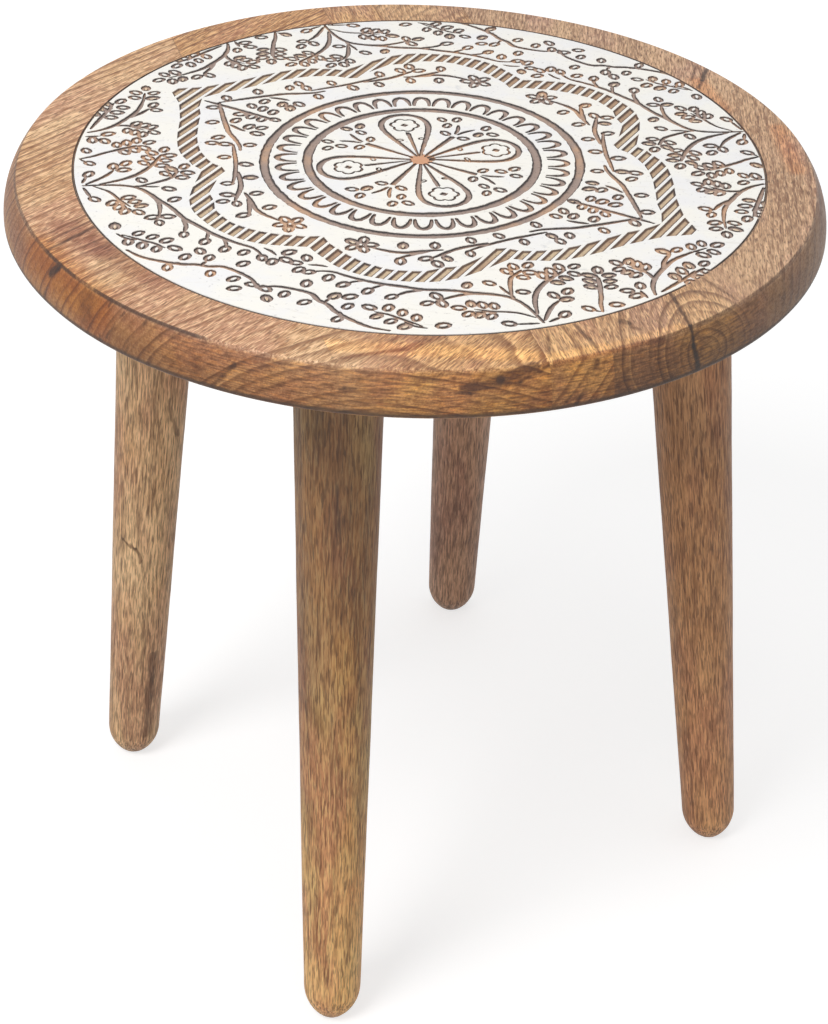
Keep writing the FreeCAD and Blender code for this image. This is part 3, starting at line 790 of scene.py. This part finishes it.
def tones(*values):
    """Light, middle, deep and rosy, from twelve display values."""
    return [tint(*values[k:k + 3]) for k in (0, 3, 6, 9)]


def scaled_tint(colour, share):
    return tuple(v * share for v in colour[:3]) + (1,)


class Value:
    """What comes out of a node. Sums, products and the like of values are nodes too."""

    def __init__(self, nodes, socket):
        self.nodes, self.socket = nodes, socket

    def with_other(self, operation, other):
        kind = "Math" if self.socket.type == "VALUE" else "VectorMath"
        return self.nodes.out(kind, {0: self, 1: other}, operation=operation)

    def __add__(self, other):
        return self.with_other("ADD", other)

    def __sub__(self, other):
        return self.with_other("SUBTRACT", other)

    def __mul__(self, other):
        return self.with_other("MULTIPLY", other)

    def __truediv__(self, other):
        return self.with_other("DIVIDE", other)


class Nodes:
    """Short ways to build a node tree. It keeps the colour so far, and lays others over it."""

    def __init__(self, owner):
        owner.use_nodes = True
        self.owner, self.tree = owner, owner.node_tree

    def add(self, kind, inputs=(), **settings):
        node = self.tree.nodes.new("ShaderNode" + kind)
        for key, value in settings.items():
            setattr(node, key, value)
        for key, value in dict(inputs).items():
            self.put(node.inputs[key], value)
        return node

    def put(self, socket, value):
        if isinstance(value, Value):
            self.tree.links.new(value.socket, socket)
        else:
            socket.default_value = value

    def out(self, kind, inputs=(), output=0, **settings):
        return Value(self, self.add(kind, inputs, **settings).outputs[output])

    def shade(self, inputs, shader="Principled BSDF"):
        for key, value in inputs.items():
            self.put(self.tree.nodes[shader].inputs[key], value)
        return self.owner

    def math(self, operation, *inputs, clamp=False):
        return self.out("Math", enumerate(inputs), operation=operation, use_clamp=clamp)

    def length(self, a):
        return self.out("VectorMath", {0: a}, "Value", operation="LENGTH")

    def dot(self, a, b):
        return self.out("VectorMath", {0: a, 1: b}, "Value", operation="DOT_PRODUCT")

    def split(self, a):
        return [Value(self, socket) for socket in self.add("SeparateXYZ", {0: a}).outputs]

    def joined(self, x, y, z):
        return self.out("CombineXYZ", {0: x, 1: y, 2: z})

    def local(self, place, matrix):
        """A place as it reads in the frame that a matrix sets."""
        inputs = {"Vector": place, "Location": matrix.translation, "Rotation": matrix.to_euler()}
        return self.out("Mapping", inputs, vector_type="TEXTURE")

    def noise(self, place, scale, detail=2, rough=0.6, output="Fac"):
        """Noise at one scale, or at a scale for each axis."""
        if isinstance(scale, tuple):
            place, scale = place * scale, 1
        inputs = {"Vector": place, "Scale": scale, "Detail": detail, "Roughness": rough}
        return self.out("TexNoise", inputs, output)

    def jostled(self, place, source, scale, reach, rough=0.6):
        """The place moved to and fro by noise, so that what is drawn there loses its straight edges."""
        return place + (self.noise(source, scale, 2, rough, "Color") - (0.5, 0.5, 0.5)) * reach

    def fit(self, value, low, high, to_low=0, to_high=1):
        inputs = {"Value": value, "From Min": low, "From Max": high, "To Min": to_low, "To Max": to_high}
        return self.out("MapRange", inputs, interpolation_type="SMOOTHSTEP")

    def window(self, value, low, high, soft):
        """1 between two values, falling to 0 over the soft width on each side."""
        return self.fit(value, low - soft, low) * self.fit(value, high, high + soft, 1, 0)

    def mix(self, share, a, b, blend="MIX"):
        return self.out("Mix", {"Factor": share, 6: a, 7: b}, 2, data_type="RGBA", blend_type=blend)

    def lay(self, share, colour, blend="MIX"):
        self.colour = self.mix(share, self.colour, colour, blend)

    def stain(self, share, mark):
        self.lay(share, mark, "MULTIPLY")

    def finish(self, roughness, height, strength, distance, metallic=0):
        bump = self.out("Bump", {"Height": height, "Strength": strength, "Distance": distance})
        inputs = {"Base Color": self.colour, "Roughness": roughness, "Normal": bump, "Metallic": metallic}
        return self.shade(inputs)


def start_material(name):
    n = Nodes(bpy.data.materials.new(name))
    return n, n.out("TexCoord", output="Object")


def near_segment(n, place, a, b, half, soft):
    """1 near the line between two places, falling to 0 over the soft width."""
    rel = place - a
    share = n.math("DIVIDE", n.dot(rel, b - a), (b - a).length_squared, clamp=True)
    foot = n.out("VectorMath", {0: b - a, "Scale": share}, operation="SCALE")
    return n.fit(n.length(rel - foot), half, half + soft, 1, 0)


def draw_marks(n, place, marks, to_place):
    """Each mark has the numbers of both ends, its half and soft width, its strength and what it leaves."""
    for *ends, half, soft, strength, mark in marks:
        middle = len(ends) // 2
        start, end = to_place(*ends[:middle]), to_place(*ends[middle:])
        n.stain(near_segment(n, place, start, end, half * MM, soft * MM) * strength, mark)


def grow_wood(n, grain, shades, pith, spacing, seed, fibre, lines, calm):
    """Grown wood in grain coordinates, with Y along the fibres: rings, streaks, patches and pores."""
    moved = grain + (seed * 3.1, seed * 7.7, seed * 1.3)
    bent = n.jostled(grain, moved, (11, 4, 11), (0.016, 0, 0.016), 0.5)
    bent = n.jostled(bent, moved, (90, 30, 90), (0.0018, 0, 0.0018))
    x, y, z = n.split(bent)
    heart_x, heart_z, lean = pith
    height = n.math("MULTIPLY_ADD", y, lean, z - heart_z)
    rings = n.length(n.joined(x - heart_x, 0, height)) / spacing
    whole = n.math("FLOOR", rings)
    part = rings - whole
    force = n.out("TexWhiteNoise", {"W": whole + seed * 13}, noise_dimensions="1D")
    late = n.fit(part, 0.4, 0.88) * n.fit(part, 0.88, 1, 1, 0) * n.fit(force, 0, 1, 0.3)
    early = n.fit(part, 0, 0.3, 1, 0) * n.fit(force, 0.3, 1, 0, 0.5)
    streak = n.noise(moved, (980, fibre, 980))
    light, middle, deep, rosy = shades
    n.colour = n.mix(n.fit(n.noise(moved, (16, 6, 16), 3), 0.38, 0.62), light, middle)
    n.lay(n.fit(n.noise(moved, (34, 10, 34), 2, 0.55), 0.44, 0.64, 0, 0.85), rosy)
    n.lay(n.fit(n.noise(moved, (210, 10, 210)), 0.48, 0.66, 0, 0.5), deep)
    n.lay(n.fit(streak, 0.51, 0.62, 0, 0.62) * calm, scaled_tint(deep, 0.95))
    n.lay(n.fit(streak, 0.49, 0.38, 0, 0.62) * calm, scaled_tint(light, 1.3))
    n.lay(early * lines, scaled_tint(light, 1.25))
    n.lay(late * (0.95 * lines), scaled_tint(deep, 0.7))
    pore = n.fit(n.noise(moved, (1300, fibre * 1.6, 1300), 1, 0.5), 0.55, 0.65)
    n.lay(pore * n.math("MULTIPLY", calm, 0.6), scaled_tint(deep, 0.42))
    return streak * 0.35 - pore, streak


# Each board's tones, the angle of its grain in plan, its heart (where it lies across the grain and in
# height, and how it leans along the grain), its ring spacing, how strong its rings are, and its darker
# edge: wood cut across the fibres takes the finish darker, and painted shade is laid in as well, deepest on
# the boards at the right, which face away from the light
BOARD_LOOKS = {
    "board_left_edge": (tones(238, 200, 156, 212, 164, 118, 158, 106, 68, 204, 152, 122), 64,
                        (0.14, 0.302, 0.2), 0.0052, 0.95, (0.58, 0.46, 0.34, 1)),
    "board_left": (tones(234, 188, 132, 202, 150, 102, 138, 84, 46, 196, 140, 108), 70,
                   (0.121, 0.297, 0.2), 0.004, 1.0, (0.76, 0.65, 0.44, 1)),
    "board_centre": (tones(232, 186, 130, 206, 154, 108, 144, 92, 58, 190, 142, 118), 114,
                     (0.13, 0.38, -0.1), 0.005, 0.8, (0.64, 0.53, 0.38, 1)),
    "board_right": (tones(228, 186, 138, 200, 154, 112, 138, 94, 64, 188, 144, 118), 110,
                    (0.1145, 0.357, 0.42), 0.0042, 0.95, (0.46, 0.39, 0.3, 1)),
    "board_right_edge": (tones(218, 180, 142, 190, 150, 116, 128, 88, 64, 194, 150, 128), 98,
                         (0.151, 0.451, -0.08), 0.0048, 0.45, (0.48, 0.41, 0.34, 1)),
}
# Two joints hardly show in front: there a board's figure fades into its neighbour's, over these places
# across the boards.
FADES = {
    "board_left": ("board_left_edge", -0.097, -0.06),
    "board_right_edge": ("board_right", 0.0866, 0.15),
}
# What a mark leaves of the wood's own colour
NEAR_BLACK, SPLIT, REDDISH = (0.1, 0.08, 0.07, 1), (0.26, 0.2, 0.16, 1), (0.62, 0.48, 0.46, 1)
# The golden multiplier brightens: laid along the front arris it is a painted highlight, and on the front
# band it lightens the fibres.
GOLDEN_STREAK_AND_HIGHLIGHT, AMBER, RUST = (1.45, 1.38, 1.1, 1), (0.86, 0.6, 0.28, 1), (0.48, 0.34, 0.28, 1)
# The gloom multiplier darkens: laid low on the band and on the front leg it is painted shade, and on the
# front band it darkens the fibres.
SHADE_AND_DARK_STREAK = (0.55, 0.48, 0.42, 1)
# Marks on the boards: both ends as turn in degrees, radius and height in mm, then half width, soft width,
# strength and what it leaves of the colour. The darkening marks at a radius of about 225 mm, low on the
# band, are painted shade.
MARKS = {
    "board_left_edge": (
        (217, 199, 450, 225.5, 192, 450, 3, 12, 0.9, REDDISH),
        (225.5, 192, 450, 238, 191.5, 450, 2, 9, 0.75, REDDISH),
        (217.4, 182.8, 450, 221.6, 217, 450, 0.5, 1.4, 0.9, SPLIT),
        (215.4, 184, 450, 219.4, 214, 450, 0.2, 1, 0.6, SPLIT),
        (219, 220.5, 444, 236, 221.5, 441, 5, 12, 0.9, AMBER),
        (225.5, 218.4, 448, 224.7, 221, 443, 1, 2.6, 0.95, NEAR_BLACK),
        (233.5, 220.5, 443, 234.2, 223.5, 437, 2.4, 6, 0.8, SHADE_AND_DARK_STREAK),
        (226, 218.4, 448, 224, 225, 429, 0.5, 1.5, 0.85, SPLIT),
        (237.8, 217.6, 449.4, 237.2, 225, 429, 0.3, 1.1, 0.8, SPLIT),
        (240.5, 219, 447, 238.5, 225, 432, 0.3, 1, 0.7, SPLIT),
        (244.3, 219, 447, 241.9, 225, 429, 0.3, 1.2, 0.6, SPLIT),
        (249, 219, 447, 245.9, 225, 429, 0.2, 1.2, 0.5, SPLIT),
        (254.9, 225, 426, 258.3, 221.6, 441.8, 0.6, 1.3, 0.9, SPLIT),
        (197, 219, 446, 214, 223, 438, 3, 9, 0.5, SHADE_AND_DARK_STREAK),
        (240, 224.5, 433, 254, 224.5, 433, 2, 7, 0.45, SHADE_AND_DARK_STREAK),
    ),
    "board_left": (
        (258.3, 221.6, 441.8, 262, 217.4, 449.5, 0.5, 1.2, 0.9, SPLIT),
        (258.2, 225, 428, 262.1, 223.2, 437.9, 0.4, 1.2, 0.75, SPLIT),
        (262.1, 223.2, 437.9, 267, 219.4, 446, 0.4, 1.2, 0.75, SPLIT),
        (267.1, 224.6, 432.7, 272.6, 222.4, 440.1, 0.3, 1.2, 0.65, SPLIT),
        (272.6, 222.4, 440.1, 287.9, 222.7, 439.6, 0.4, 1.3, 0.7, SPLIT),
        (274.3, 220, 444.9, 284.2, 219.7, 445.5, 0.4, 1.3, 0.6, SPLIT),
        (287, 221.6, 441.3, 291.7, 220.3, 444.5, 1.2, 2, 0.9, SPLIT),
        (291.7, 220.3, 444.5, 296.3, 217.8, 448.9, 1.5, 1.8, 0.9, SPLIT),
        (287.9, 222.4, 440.1, 294.2, 220.8, 443.3, 0.6, 1.2, 0.85, SPLIT),
        (294.2, 220.8, 443.3, 299, 217.8, 449, 0.5, 1.2, 0.85, SPLIT),
        (271.7, 211.9, 450, 279.7, 199.4, 450, 0.6, 2, 0.75, RUST),
        (279.7, 199.4, 450, 286.8, 182.2, 450, 1.2, 2.6, 0.75, RUST),
        # Painted highlight along the front arris
        (256, 214.8, 450, 300, 215.4, 450, 2.5, 6.5, 0.75, GOLDEN_STREAK_AND_HIGHLIGHT),
        (262, 226, 433, 297, 226, 433, 2, 6, 0.4, SHADE_AND_DARK_STREAK),
    ),
    "board_centre": (
        (300.9, 189, 450, 298.6, 214, 450, 0.2, 1, 0.6, SPLIT),
        (305.4, 189, 450, 305.4, 212.3, 450, 0.5, 1.2, 0.8, SPLIT),
        # Painted highlight along the front arris
        (298, 214.8, 450, 308, 215.4, 450, 2, 5, 0.75, GOLDEN_STREAK_AND_HIGHLIGHT),
        (304.6, 219.2, 447, 301.3, 225, 429, 0.6, 1.3, 0.9, SPLIT),
        (303, 221, 443, 300, 225, 431, 0.3, 1.2, 0.7, SPLIT),
        (299, 218, 448.6, 307, 217.4, 449.8, 0.8, 1.6, 0.85, RUST),
        (306.2, 225, 430, 306.9, 225, 433, 2.4, 5, 0.8, SHADE_AND_DARK_STREAK),
    ),
    "board_right": (
        (307, 225, 430, 308, 225, 434, 2, 5, 0.8, SHADE_AND_DARK_STREAK),
        (312.1, 196.2, 450, 312.6, 199, 450, 1, 2.2, 0.8, SPLIT),
        (313, 206.7, 450, 312.4, 203, 450, 0.4, 2, 0.6, SPLIT),
        # Painted highlight along the front arris
        (307, 215, 450, 318, 215.5, 450, 1.4, 4, 0.6, GOLDEN_STREAK_AND_HIGHLIGHT),
        (306.5, 217.4, 449.8, 314.5, 218, 448.5, 0.8, 1.8, 0.85, RUST),
        (323.5, 189, 450, 319.3, 217, 450, 0.5, 1.2, 0.95, SPLIT),
        (319.3, 217, 450, 319, 222, 441, 0.5, 1.2, 0.95, NEAR_BLACK),
        (319, 222, 441, 319.5, 225, 427, 1, 1.8, 0.95, NEAR_BLACK),
        (312, 225, 434, 326, 225, 434, 4, 9, 0.4, SHADE_AND_DARK_STREAK),
    ),
    "board_right_edge": (
        (327, 190, 450, 326.2, 215, 450, 0.2, 1, 0.45, SPLIT),
        (330.8, 190, 450, 329, 216, 450, 0.3, 1, 0.6, SPLIT),
        (48.8, 217, 450, 45.7, 203, 450, 0.6, 1.3, 0.9, NEAR_BLACK),
        (45.7, 203, 450, 43.6, 194.7, 450, 0.5, 1.3, 0.85, SPLIT),
        (50.4, 214, 450, 46.6, 197, 450, 0.3, 1, 0.7, SPLIT),
        (45.8, 200, 450, 34.4, 190.3, 450, 2, 7, 0.6, (1.0, 0.66, 0.42, 1)),
        (25.8, 211, 450, 11.4, 208.4, 450, 1.5, 7, 0.6, (1.05, 0.68, 0.44, 1)),
        (321, 225, 431, 332, 225, 431, 2, 7, 0.6, SHADE_AND_DARK_STREAK),
        (338, 225, 434, 10, 225, 434, 4, 9, 0.45, SHADE_AND_DARK_STREAK),
    ),
}


def on_top(turn, radius, height):
    return Vector((*polar(turn, radius), height)) * MM


def figured_board(n, place, name):
    """A board's own wood with its darker edge: end grain that takes the finish darker, with painted shade.
    """
    shades, angle, pith, spacing, force, edge = BOARD_LOOKS[name]
    grain = n.local(place, Matrix.Rotation(radians(angle - 90), 4, "Z"))
    x, y, z = n.split(place)
    outer = n.fit(n.length(n.joined(x, y, 0)), ARRIS_RADIUS, ARRIS_RADIUS + 2 * MM)
    calm = n.math("MULTIPLY_ADD", outer, -0.6, 1)
    height, streak = grow_wood(n, grain, shades, pith, spacing, BOARDS.index(name) + 1, 110, force, calm)
    n.stain(outer, edge)
    return height, streak


def board_wood(name):
    n, place = start_material(name + "_finish")
    height, streak = figured_board(n, place, name)
    x, y, z = n.split(place)
    across = n.dot(place, ACROSS)
    if name in FADES:
        neighbour, start, end = FADES[name]
        own = n.colour
        figured_board(n, place, neighbour)
        n.colour = n.mix(n.fit(across, start, end, 1, 0) * n.fit(y, -0.12, -0.02, 1, 0), own, n.colour)
    plan = n.length(n.joined(x, y, 0))
    turn = n.math("ARCTAN2", y, x)
    # In front the fibres run along the edge.
    fibres = n.noise(n.joined(turn * 26, z * 950, 0), 1, 3)
    front = n.fit(plan, ARRIS_RADIUS, ARRIS_RADIUS + 2 * MM) * n.window(turn, -1.85, -0.6, 0.25)
    n.stain(n.fit(fibres, 0.48, 0.62, 0, 0.95) * front, SHADE_AND_DARK_STREAK)
    n.stain(n.fit(fibres, 0.5, 0.36, 0, 0.95) * front, GOLDEN_STREAK_AND_HIGHLIGHT)
    draw_marks(n, n.jostled(place, place, 140, (0.0022, 0.0022, 0.0022)), MARKS[name], on_top)
    for line in GLUE_LINES:
        gap = n.math("ABSOLUTE", across - line)
        n.lay(n.fit(gap, 0.0001, 0.0006, 0.45, 0) * n.fit(y, -0.12, -0.02, 0.35), tint(110, 74, 52))
    # The arris carries a dark line: strongest at the front left, weaker at the left and front right, faint
    # at the right, and none in front or at the back left.
    arris = n.fit(n.math("ABSOLUTE", plan - (ARRIS_RADIUS + 0.4 * MM)), 0.3 * MM, 1.0 * MM, 1, 0)
    shown = 0.0
    for low, high, strength in ((-138, -108, 0.9), (-176, -140, 0.65), (-46, -14, 0.55), (-8, 60, 0.25)):
        shown = n.math("MAXIMUM", n.window(turn, radians(low), radians(high), 0.06) * strength, shown)
    n.lay(arris * (shown * n.fit(n.noise(place, 45, 3), 0.34, 0.5, 0.45)), tint(62, 36, 22))
    # Painted shade: a dark line low on the band, where it rounds under
    lower = n.fit(z, UNDERSIDE_Z + 0.8 * MM, UNDERSIDE_Z + 1.4 * MM)
    n.lay(lower * n.fit(z, UNDERSIDE_Z + 2.6 * MM, UNDERSIDE_Z + 4.4 * MM, 0.8, 0), tint(50, 34, 24))
    return n.finish(n.fit(streak, 0.2, 0.8, 0.42, 0.62), height, 0.35, 0.0004)


def carved_wood():
    """The floors and walls of the grooves: dark along the walls, from dark stain and painted shade, and
    rubbed pale where the cut is shallow.
    """
    n, place = start_material("carved_grooves")
    depth, rubbed = (n.out("Attribute", output="Fac", attribute_name=name) for name in ("carve", "rubbed"))
    age = n.noise(place, 24, 3)
    grit = n.noise(place, 620)
    floor = n.mix(n.fit(age, 0.44, 0.66), tint(166, 146, 136), tint(206, 168, 138))
    floor = n.mix(rubbed, floor, n.mix(n.fit(age, 0.4, 0.62), tint(214, 190, 158), tint(184, 152, 124)))
    edge = n.mix(n.fit(age, 0.46, 0.72), tint(54, 48, 48), tint(96, 72, 60))
    edge = n.mix(rubbed * 0.8, edge, tint(102, 78, 62))
    full = n.math("MULTIPLY_ADD", depth, rubbed + 1, rubbed * -0.25)
    level = n.math("ADD", full, n.math("MULTIPLY_ADD", grit, 0.5, -0.25), clamp=True)
    n.colour = n.mix(n.fit(level, 0.25, 0.8), edge, floor)
    n.lay(n.fit(grit, 0.56, 0.72, 0, 0.5), tint(70, 58, 54))
    return n.finish(0.75, grit, 0.3, 0.0003)


def worn_wood():
    n, place = start_material("worn_leaves")
    grit = n.noise(place, 500, 3)
    n.colour = n.mix(n.fit(grit, 0.35, 0.65), tint(242, 226, 204), tint(220, 190, 158))
    middle = n.length(place - (*FIELD_CENTRE, TOP_Z))
    n.lay(n.fit(middle, 6 * MM, 14 * MM, 0.9, 0), tint(214, 156, 120))
    return n.finish(0.7, grit, 0.3, 0.0003)


def white_enamel():
    n, place = start_material("white_enamel")
    cloud = n.noise(place, 30, 3)
    brushed = n.noise(place, (60, 300, 60), 3)
    n.colour = n.mix(n.fit(cloud, 0.4, 0.7), tint(254, 251, 243), tint(248, 247, 247))
    n.lay(n.fit(brushed, 0.58, 0.78, 0, 0.5), tint(224, 218, 206))
    n.lay(n.fit(n.noise(place, 420, 2, 0.55), 0.62, 0.74, 0, 0.5), tint(186, 182, 182))
    n.lay(n.fit(n.noise(place, 46, 4, 0.65), 0.66, 0.76, 0, 0.5), tint(200, 202, 208))
    return n.finish(n.fit(cloud, 0.3, 0.7, 0.5, 0.62), brushed, 0.25, 0.0004)


# Each leg's tones, and how much painted shade darkens its upper part, under the top
LEG_LOOKS = {
    "leg_front": (tones(255, 214, 142, 252, 188, 118, 134, 84, 48, 230, 160, 112), 0.95),
    "leg_right": (tones(236, 178, 124, 208, 150, 100, 128, 82, 52, 200, 138, 98), 0.25),
    "leg_back": (tones(220, 174, 142, 194, 148, 116, 112, 80, 62, 180, 130, 106), 0.12),
    "leg_left": (tones(250, 208, 158, 222, 172, 122, 122, 84, 54, 208, 154, 118), 0.1),
}
# Marks on the legs: both ends as millimetres across the photograph and height, then as for the boards
LEG_MARKS = {
    "leg_front": (
        # The first three marks are painted shade at the top of the leg and down its left side, under the
        # top
        (-38.8, 400, -31.9, 330, 4, 9, 0.6, (0.5, 0.42, 0.38, 1)),
        (-33, 330, -34, 262, 1, 5, 0.4, SHADE_AND_DARK_STREAK),
        (-53.4, 306, -53, 221, 2, 8, 0.45, (0.74, 0.72, 0.8, 1)),
        (-52, 218, -45, 207, 2, 6, 0.7, SHADE_AND_DARK_STREAK),
        (-52, 156, -47.6, 133, 1.5, 5, 0.55, SHADE_AND_DARK_STREAK),
        (-31, 259, -27, 183, 2.5, 7, 0.4, (1.25, 1.22, 0.92, 1)),
    ),
    # A painted shade at the top of the right leg, under the top
    "leg_right": ((142.6, 345, 159, 304, 7, 24, 0.6, (0.66, 0.66, 0.68, 1)),),
    "leg_left": (
        (-174.8, 181, -167, 177.3, 0.5, 1.1, 0.8, SPLIT),
        (-167, 177.3, -162.6, 166, 0.5, 1.1, 0.8, SPLIT),
        (-160.2, 89, -167, 20, 1, 2.2, 0.8, SPLIT),
        (-141.3, 286, -138.8, 257.5, 0.4, 1.2, 0.7, SPLIT),
    ),
}


def on_photo(x, z):
    return Vector((x, 0, z)) * MM


def leg_wood(name, seed):
    n, place = start_material(name + "_finish")
    shades, shade = LEG_LOOKS[name]
    grain = n.local(place, leg_matrix(*LEGS[name]) @ Matrix.Rotation(radians(90), 4, "X"))
    height, streak = grow_wood(n, grain, shades, (0.03, 0.05, 0.02), 0.006, seed, 70, 0.12, 0.65)
    moved = grain + (seed * 1.7, seed * 2.3, seed * 4.1)
    n.lay(n.fit(n.noise(moved, (1100, 80, 1100), 2, 0.5), 0.53, 0.62, 0, 0.6), scaled_tint(shades[2], 0.5))
    x, y, z = n.split(place)
    sideways = n.dot(place, (cos(PHOTO_TURN), sin(PHOTO_TURN), 0))
    seen = n.jostled(n.joined(sideways, 0, z), moved, (160, 60, 160), (0.006, 0, 0.012))
    draw_marks(n, seen, LEG_MARKS.get(name, ()), on_photo)
    # Painted shade on the upper part of the leg, under the top
    n.stain(n.fit(z, 0.02, 0.33) * shade, (0.35, 0.33, 0.35, 1))
    # Painted contact shadow: the foot darker just above the floor
    n.stain(n.fit(z, 0.001, 0.008, 0.6, 0), (0.3, 0.24, 0.2, 1))
    return n.finish(n.fit(streak, 0.2, 0.8, 0.45, 0.65), height, 0.4, 0.0004)


def turned_metal(name, bright, dull):
    """Fine scratches round the part and a soft dull film."""
    n, place = start_material(name)
    scratch = n.noise(place, (900, 900, 4000), 3)
    n.colour = n.mix(n.fit(n.noise(place, 260, 3), 0.35, 0.7), bright, dull)
    n.lay(n.fit(scratch, 0.55, 0.75, 0, 0.4), scaled_tint(dull, 0.6))
    return n.finish(n.fit(scratch, 0.3, 0.7, 0.28, 0.5), scratch, 0.2, 0.0001, metallic=1)


carved, worn = carved_wood(), worn_wood()
for name, board in boards.items():
    for material in (board_wood(name), carved, worn):
        board.data.materials.append(material)
coat.data.materials.append(white_enamel())
for seed, (name, leg) in enumerate(legs.items()):
    leg.data.materials.append(leg_wood(name, seed + 11))
zinc = turned_metal("zinc_steel", tint(196, 198, 202), tint(150, 152, 156))
brass = turned_metal("insert_brass", tint(214, 178, 104), tint(168, 132, 74))
for name in LEGS:
    for kind, metal in (("hanger_bolt", zinc), ("threaded_insert", brass)):
        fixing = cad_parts[name.replace("leg", kind)]
        fixing.data.materials.clear()
        fixing.data.materials.append(metal)


# Stage: the photograph's camera, pale floor and soft light

# The camera fitted to the photograph: place in radii of the top, angles in radians, lens in pixels
CAMERA_PLACE, FITTED_RADIUS = Vector((0, -5.2316, 4.6008)), 0.225
PITCH, PAN, ROLL = 0.6076, -0.0036, 0.0304
LENS_PIXELS, PICTURE_PIXELS, SENSOR = 2378.4952, 1024, 36


def add_camera():
    right = Vector((1, 0, 0))
    up = Vector((0, sin(PITCH), cos(PITCH)))
    back = Vector((0, -cos(PITCH), sin(PITCH)))
    rolled_right = right * cos(ROLL) + up * sin(ROLL)
    rolled_up = -right * sin(ROLL) + up * cos(ROLL)
    axes = Matrix((rolled_right, rolled_up, back)).transposed()
    axes = Matrix.Rotation(PHOTO_TURN + PAN, 3, "Z") @ axes
    place = Matrix.Rotation(PHOTO_TURN, 3, "Z") @ CAMERA_PLACE * FITTED_RADIUS
    data = bpy.data.cameras.new("camera")
    data.sensor_width = SENSOR
    data.lens = LENS_PIXELS / PICTURE_PIXELS * SENSOR
    camera = add_object("camera", data)
    camera.matrix_world = Matrix.Translation(place) @ axes.to_4x4()
    bpy.context.scene.camera = camera


def seen_strength(n, hidden, seen):
    """A strength that differs where the camera looks, straight or by way of metal and glass."""
    path = n.add("LightPath")
    total = Value(n, path.outputs["Is Camera Ray"])
    for ray in ("Is Glossy Ray", "Is Transmission Ray"):
        total = n.math("ADD", total, Value(n, path.outputs[ray]), clamp=True)
    return n.out("MapRange", {"Value": total, "To Min": hidden, "To Max": seen})


def add_floor():
    mesh = new_mesh("floor", [(-6, -6, 0), (6, -6, 0), (6, 6, 0), (-6, 6, 0)], [(0, 1, 2, 3)])
    floor = add_object("floor", mesh)
    n = Nodes(bpy.data.materials.new("pale_floor"))
    # The floor goes to white away from the table, so that its far edge doesn't show.
    away = n.length(n.out("NewGeometry", output="Position"))
    fade = n.out("MapRange", {"Value": away, "From Min": 0.8, "From Max": 2, "To Min": 0.68, "To Max": 1})
    looks = {"Base Color": (0.5, 0.5, 0.5, 1), "Roughness": 0.9, "Emission Color": (1, 1, 1, 1),
             "Emission Strength": seen_strength(n, 0, 1) * fade}
    mesh.materials.append(n.shade(looks))


def add_lamp(name, place, aim, size, power):
    data = bpy.data.lights.new(name, "AREA")
    data.shape, data.size, data.energy = "DISK", size, power
    lamp = add_object(name, data)
    lamp.location = place
    lamp.rotation_euler = (Vector(aim) - Vector(place)).to_track_quat("-Z", "Y").to_euler()


add_camera()
add_floor()
add_lamp("key", (-0.85, -1.25, 2.3), (0, 0, 0.35), 1.1, 32)
add_lamp("overhead", (0.1, 0.3, 2.6), (0, 0, 0.4), 1.8, 14)
add_lamp("front", (0.55, -2.3, 0.5), (0, 0, 0.15), 1.6, 9)
bpy.context.scene.world = bpy.data.worlds.new("studio")
n = Nodes(bpy.context.scene.world)
n.shade({"Color": (1, 1, 1, 1), "Strength": seen_strength(n, 0.27, 1)}, "Background")
bpy.context.scene.view_settings.view_transform = "Standard"
